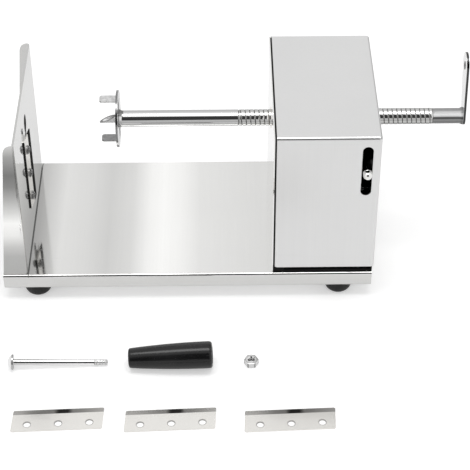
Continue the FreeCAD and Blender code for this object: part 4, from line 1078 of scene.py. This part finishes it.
class CUTTER_OT_crank(bpy.types.Operator):
    """Finish the crank arm and turn its welded collar"""

    bl_idname = "cutter.crank"
    bl_label = "Crank"

    def execute(self, context):
        # The weld's radius has 0.3 sin(5 a) + 0.2 sin(11 a + 1) of a bead on it.
        dress("crank_arm", "arm_sheet")
        radius, bore, end = 7.6, 5.25, 271.6
        a = angles(96)
        bead = 0.3 * np.sin(5 * a) + 0.2 * np.sin(11 * a + 1.0)
        rows = list(softened([
            (SHAFT_END, bore), (SHAFT_END, radius), (243.6, radius), (244.0, 7.42),
            (244.4, radius), (268.8, radius)], 0.3))
        # The weld's rows carry soot; the inner edge of the end face and the bore carry painted
        # shade.
        rows += [(269.6, 7.95, .25), (270.4, 8.3 + 0.25 * bead, .45),
                 (271.1, 8.6 + 0.3 * bead, .5), (end, 8.5, .5), (end, bore, 1.0),
                 (SHAFT_END + 0.02, bore, 1.0)]
        ring_piece("crank_collar.turned", rows, "spindle", "collar_bar", "shaft_steel")
        return {"FINISHED"}


class CUTTER_OT_lever(bpy.types.Operator):
    """Finish the half nut and its lever, and turn the rod, pivot and post"""

    bl_idname = "cutter.lever"
    bl_label = "Lever"

    def execute(self, context):
        dress("half_nut", "block_steel")
        dress("half_nut_lever", "lever_sheet")
        ball, end, tip = 4.3, 57.5, (LEVER_X, -94.2, 125.4)
        slope = np.linspace(0.0, math.pi / 2, 16)
        nose = np.stack([-ball * np.cos(slope), ball * np.sin(slope)], 1)
        body = softened([(0.0, ball), (2.2, ball), (2.6, ball - 0.3), (3.0, ball),
                         (end - 0.3, ball), (end, ball - 0.3), (end, 0.0)], 0.3)
        piece("lever_rod.turned", [
            turned([*nose, *body[1:]], tip, Y, steps=72)],
            "lever", "rod_bar", "shaft_steel")
        wall, nut_seat, spacer_seat = HOUSE_RIGHT - SHEET, 169.2, 174.8
        fasteners("lever_pivot_bolt.threaded", [
            screw((wall, *PIVOT), -X, 20.7, 4.0, domed_head(radius=6.0, high=1.4, ball=16.0),
                  cross=(3.0, 0.8, 1.0), pitch=1.25, plain=13.0)])
        fasteners("lever_pivot_nut.cut", [
            hex_nut((nut_seat, *PIVOT), -X, flats=13.0, high=5.0, bore=4.05)])
        fasteners("lever_spacer.turned", [
            flat_ring((spacer_seat, *PIVOT), X, outer=6.5, inner=4.06, high=6.9)])
        post, waist, end, groove = 2.5, 2.1, 168.0, (169.2, 170.2)
        rows = softened([(end, 0.0), (end, post), (groove[0], post), (groove[0], waist),
                         (groove[1], waist), (groove[1], post), (wall, post), (wall, 0.0)],
                        0.3)
        fasteners("spring_post.turned", [turned(rows, (0, *POST), X, steps=48)])
        return {"FINISHED"}


class CUTTER_OT_spring(bpy.types.Operator):
    """Wind the lever's tension spring"""

    bl_idname = "cutter.spring"
    bl_label = "Lever spring"

    def execute(self, context):
        # Ring, coil, ring on one line: the coil's radius swells from nought and back.
        sizes = context.scene.cutter_sizes
        coil, thick = sizes.coil_radius / MM, sizes.wire_radius / MM
        top, low, loop, turns, gap, points = 114.3, 63.35, 5.5, 18.25, 0.6, 504
        a = angles(48)[:-1]
        flat = 0 * a
        upper = np.stack([loop * np.sin(a), flat, top - loop * np.cos(a)], 1)
        lower = np.stack([flat, loop * np.sin(a), low + loop * np.cos(a)], 1)
        t = np.linspace(0.0, 1.0, points)
        swell = coil * np.clip(np.minimum(t, 1 - t) * turns / 0.5, 0, 1)
        start, end = top - loop - gap, low + loop + gap
        wound = np.stack([swell * np.cos(TURN * turns * t), swell * np.sin(TURN * turns * t),
                          start + (end - start) * t], 1)
        path = np.concatenate([upper, wound, lower]) + (LEVER_X, POST[0], 0.0)
        spring = piece("lever_spring.wound", [wire(path, thick)], None, "spring_wire",
                       "zinc_steel")
        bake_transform(spring)
        return {"FINISHED"}


class CUTTER_OT_grip(bpy.types.Operator):
    """Mould the crank's grip, and turn the bolt and nut that hold it"""

    bl_idname = "cutter.grip"
    bl_label = "Grip"

    def execute(self, context):
        # The bolt rests on its head's rim and on its tip.
        self.mould_grip()
        size, shank, head_rad, head = 89.5, 3.0, 7.5, 5.6
        slope, heading = math.asin((head_rad - shank) / size), math.radians(2.0)
        along = np.array([math.cos(slope) * math.cos(heading),
                          math.cos(slope) * math.sin(heading), -math.sin(slope)])
        rise = head * math.sin(slope) + head_rad * math.cos(slope)
        at = np.array([-171.0, -189.0, TABLE_Z + rise]) + head * along
        fasteners("handle_bolt.threaded", [
            screw(at, along, size, shank, domed_head(head_rad, head, head_rad * 1.15),
                  pitch=1.4, plain=76.5)], "chrome_pin")
        fasteners("handle_nut.cut", [
            hex_nut((61.5, -186.5, TABLE_Z), Z, flats=12.0, high=6.0, bore=3.05)],
            "chrome_pin")
        return {"FINISHED"}

    @staticmethod
    def mould_grip():
        """A cone that bows out: small + (big - small) x + 3.6 x (1 - x) along its length.

        It lies tilted on the table, so its lowest line is set at the table's height.
        """
        small, big, long, corner, bore, touching = 9.6, 13.0, 80.0, 3.0, 3.3, 71.0
        slope = math.asin((big - small) / touching)
        along = np.array([math.cos(slope), 0.0, math.sin(slope)])
        x = np.linspace(0.0, 1.0, 24)
        side = np.stack([2 + 75 * x, small + (big - small) * x + 3.6 * x * (1 - x)], 1)
        quarter = np.linspace(0.0, math.pi / 2, 8)
        sine, cosine = np.sin(quarter), np.cos(quarter)
        neck = np.stack([2 - 2 * cosine, small - 2 + 2 * sine], 1)
        butt = np.stack([long - corner + corner * sine, big - corner + corner * cosine], 1)
        inside = softened([(long, 10.0), (long, 9.2), (79.3, 8.8), (79.0, 6.0), (78.4, 3.6),
                           (78.0, bore), (2.0, bore), (1.6, 3.6), (0.0, 3.8), (0.0, 7.6)],
                          0.4)
        section = np.concatenate([neck[:-1], side[:-1], butt[:-1], inside[:-1]])
        drop = min(section @ (math.sin(slope), -math.cos(slope)))
        ring_piece("crank_handle.moulded", section, "frame", "grip_plastic", "grip_plastic",
                   (-55.5, -187.8, TABLE_Z - drop), along, 128)


# ---- studio
class CUTTER_OT_stage(bpy.types.Operator):
    """Lay the floor, light it softly and place the camera"""

    bl_idname = "cutter.stage"
    bl_label = "Stage"

    def execute(self, context):
        studio = context.scene.cutter_studio
        self.lay_floor(studio)
        self.light_room(studio)
        self.hang_softbox(studio)
        self.place_camera(studio)
        context.scene.view_settings.view_transform = "Standard"
        return {"FINISHED"}

    @staticmethod
    def lay_floor(studio):
        """A wide disc under the table height, drawn in rings that widen outwards."""
        reach = np.concatenate([[0.0], np.geomspace(0.2, 30.0, 12)]) / MM
        disc = joined("studio_floor", [
            turned([(TABLE_Z - 0.02, radius) for radius in reach], (0, 0, 0), Z)])
        nodes = Nodes(bpy.data.materials.new("studio_floor"))
        mirrored = nodes.ray("Glossy").most(nodes.ray("Transmission"))
        bright = nodes.ray("Camera").most(mirrored * 0.62)
        speck = nodes.cloud(9.0, 2.0, 0.5)
        matt = nodes.add("ShaderNodeBsdfDiffuse", {}, {
            "Color": nodes.shade((0.8, 0.8, 0.8), 0.99 + speck * 0.02)})
        glow = nodes.add("ShaderNodeEmission", {}, {
            "Color": (1.0, 1.0, 1.0, 1.0), "Strength": bright * studio.floor_tone})
        both = nodes.add("ShaderNodeAddShader", {}, {0: matt, 1: glow})
        nodes.add("ShaderNodeOutputMaterial", {}, {"Surface": both})
        place("studio_floor", disc, None, nodes.owner)

    @staticmethod
    def light_room(studio):
        """White all round, with one dim wall before the machine that only gloss shows.

        The wall stands from about 7 to 59 degrees up, and 27 degrees to each side.
        """
        room = bpy.data.worlds.new("studio_room")
        bpy.context.scene.world = room
        nodes = Nodes(room, "Generated")
        wall = nodes.z.angle(nodes.y * -1).window(0.08, 0.15, 1.00, 1.05)
        wall = wall * (nodes.x.size() + nodes.y * 0.5).fall(-0.06, 0.06)
        first = nodes.add("ShaderNodeLightPath", output="Ray Depth").fall(2.2, 2.8)
        glossy = nodes.ray("Glossy")
        seen = nodes.ray("Camera").most(glossy).most(nodes.ray("Transmission"))
        level = studio.sky_level + seen * (1.0 - studio.sky_level)
        light = nodes.add("ShaderNodeBackground", {}, {
            "Color": (1.0, 1.0, 1.0, 1.0), "Strength": level - glossy * wall * first * 0.96})
        nodes.add("ShaderNodeOutputWorld", {}, {"Surface": light})

    @staticmethod
    def hang_softbox(studio):
        lamp = bpy.data.lights.new("softbox", "AREA")
        lamp.shape = "RECTANGLE"
        lamp.size, lamp.size_y = 1.2, 0.5
        lamp.energy = studio.lamp_power
        thing = linked("softbox", lamp)
        thing.location = (0.0, -0.12, 1.6)
        thing.rotation_euler = (math.radians(-4.0), 0.0, 0.0)

    @staticmethod
    def place_camera(studio):
        """The camera is lifted from straight down to its dip, then turned by its yaw."""
        yaw, dip, roll = studio.aim
        camera = bpy.data.cameras.new("camera")
        camera.lens, camera.sensor_width = studio.focal, 36.0
        camera.clip_start, camera.clip_end = 0.05, 100.0
        thing = linked("camera", camera)
        turn = (Matrix.Rotation(-yaw, 4, "Z") @ Matrix.Rotation(math.pi / 2 - dip, 4, "X")
                @ Matrix.Rotation(-roll, 4, "Z"))
        thing.matrix_world = Matrix.Translation(studio.place) @ turn
        bpy.context.scene.camera = thing


class CUTTER_PT_panel(bpy.types.Panel):
    """Everything that makes up the cutter, in order"""

    bl_idname = "CUTTER_PT_panel"
    bl_label = "Potato cutter"
    bl_space_type = "VIEW_3D"
    bl_region_type = "UI"
    bl_category = "Cutter"

    def draw(self, context):
        layout = self.layout
        for name in SETTINGS:
            box, group = layout.box(), getattr(context.scene, name)
            for key in group.__annotations__:
                box.prop(group, key)
        for operator in OPERATORS:
            layout.operator(operator.bl_idname)


SETTINGS = {"cutter_sizes": CutterSizes, "cutter_finish": CutterFinish,
            "cutter_studio": CutterStudio}
OPERATORS = (CUTTER_OT_tray, CUTTER_OT_feet, CUTTER_OT_bracket, CUTTER_OT_blades,
             CUTTER_OT_housing, CUTTER_OT_bushes, CUTTER_OT_shaft, CUTTER_OT_fork,
             CUTTER_OT_crank, CUTTER_OT_lever, CUTTER_OT_spring, CUTTER_OT_grip,
             CUTTER_OT_stage)
CLASSES = (*SETTINGS.values(), *OPERATORS, CUTTER_PT_panel)


def register():
    for kind in CLASSES:
        bpy.utils.register_class(kind)
    for name, kind in SETTINGS.items():
        setattr(bpy.types.Scene, name, PointerProperty(type=kind))


def unregister():
    for name in SETTINGS:
        delattr(bpy.types.Scene, name)
    for kind in reversed(CLASSES):
        bpy.utils.unregister_class(kind)


def main():
    """Registers the add-on and makes every group in order."""
    register()
    for operator in OPERATORS:
        getattr(bpy.ops.cutter, operator.bl_idname.split(".")[1])()


if __name__ == "__main__":
    main()
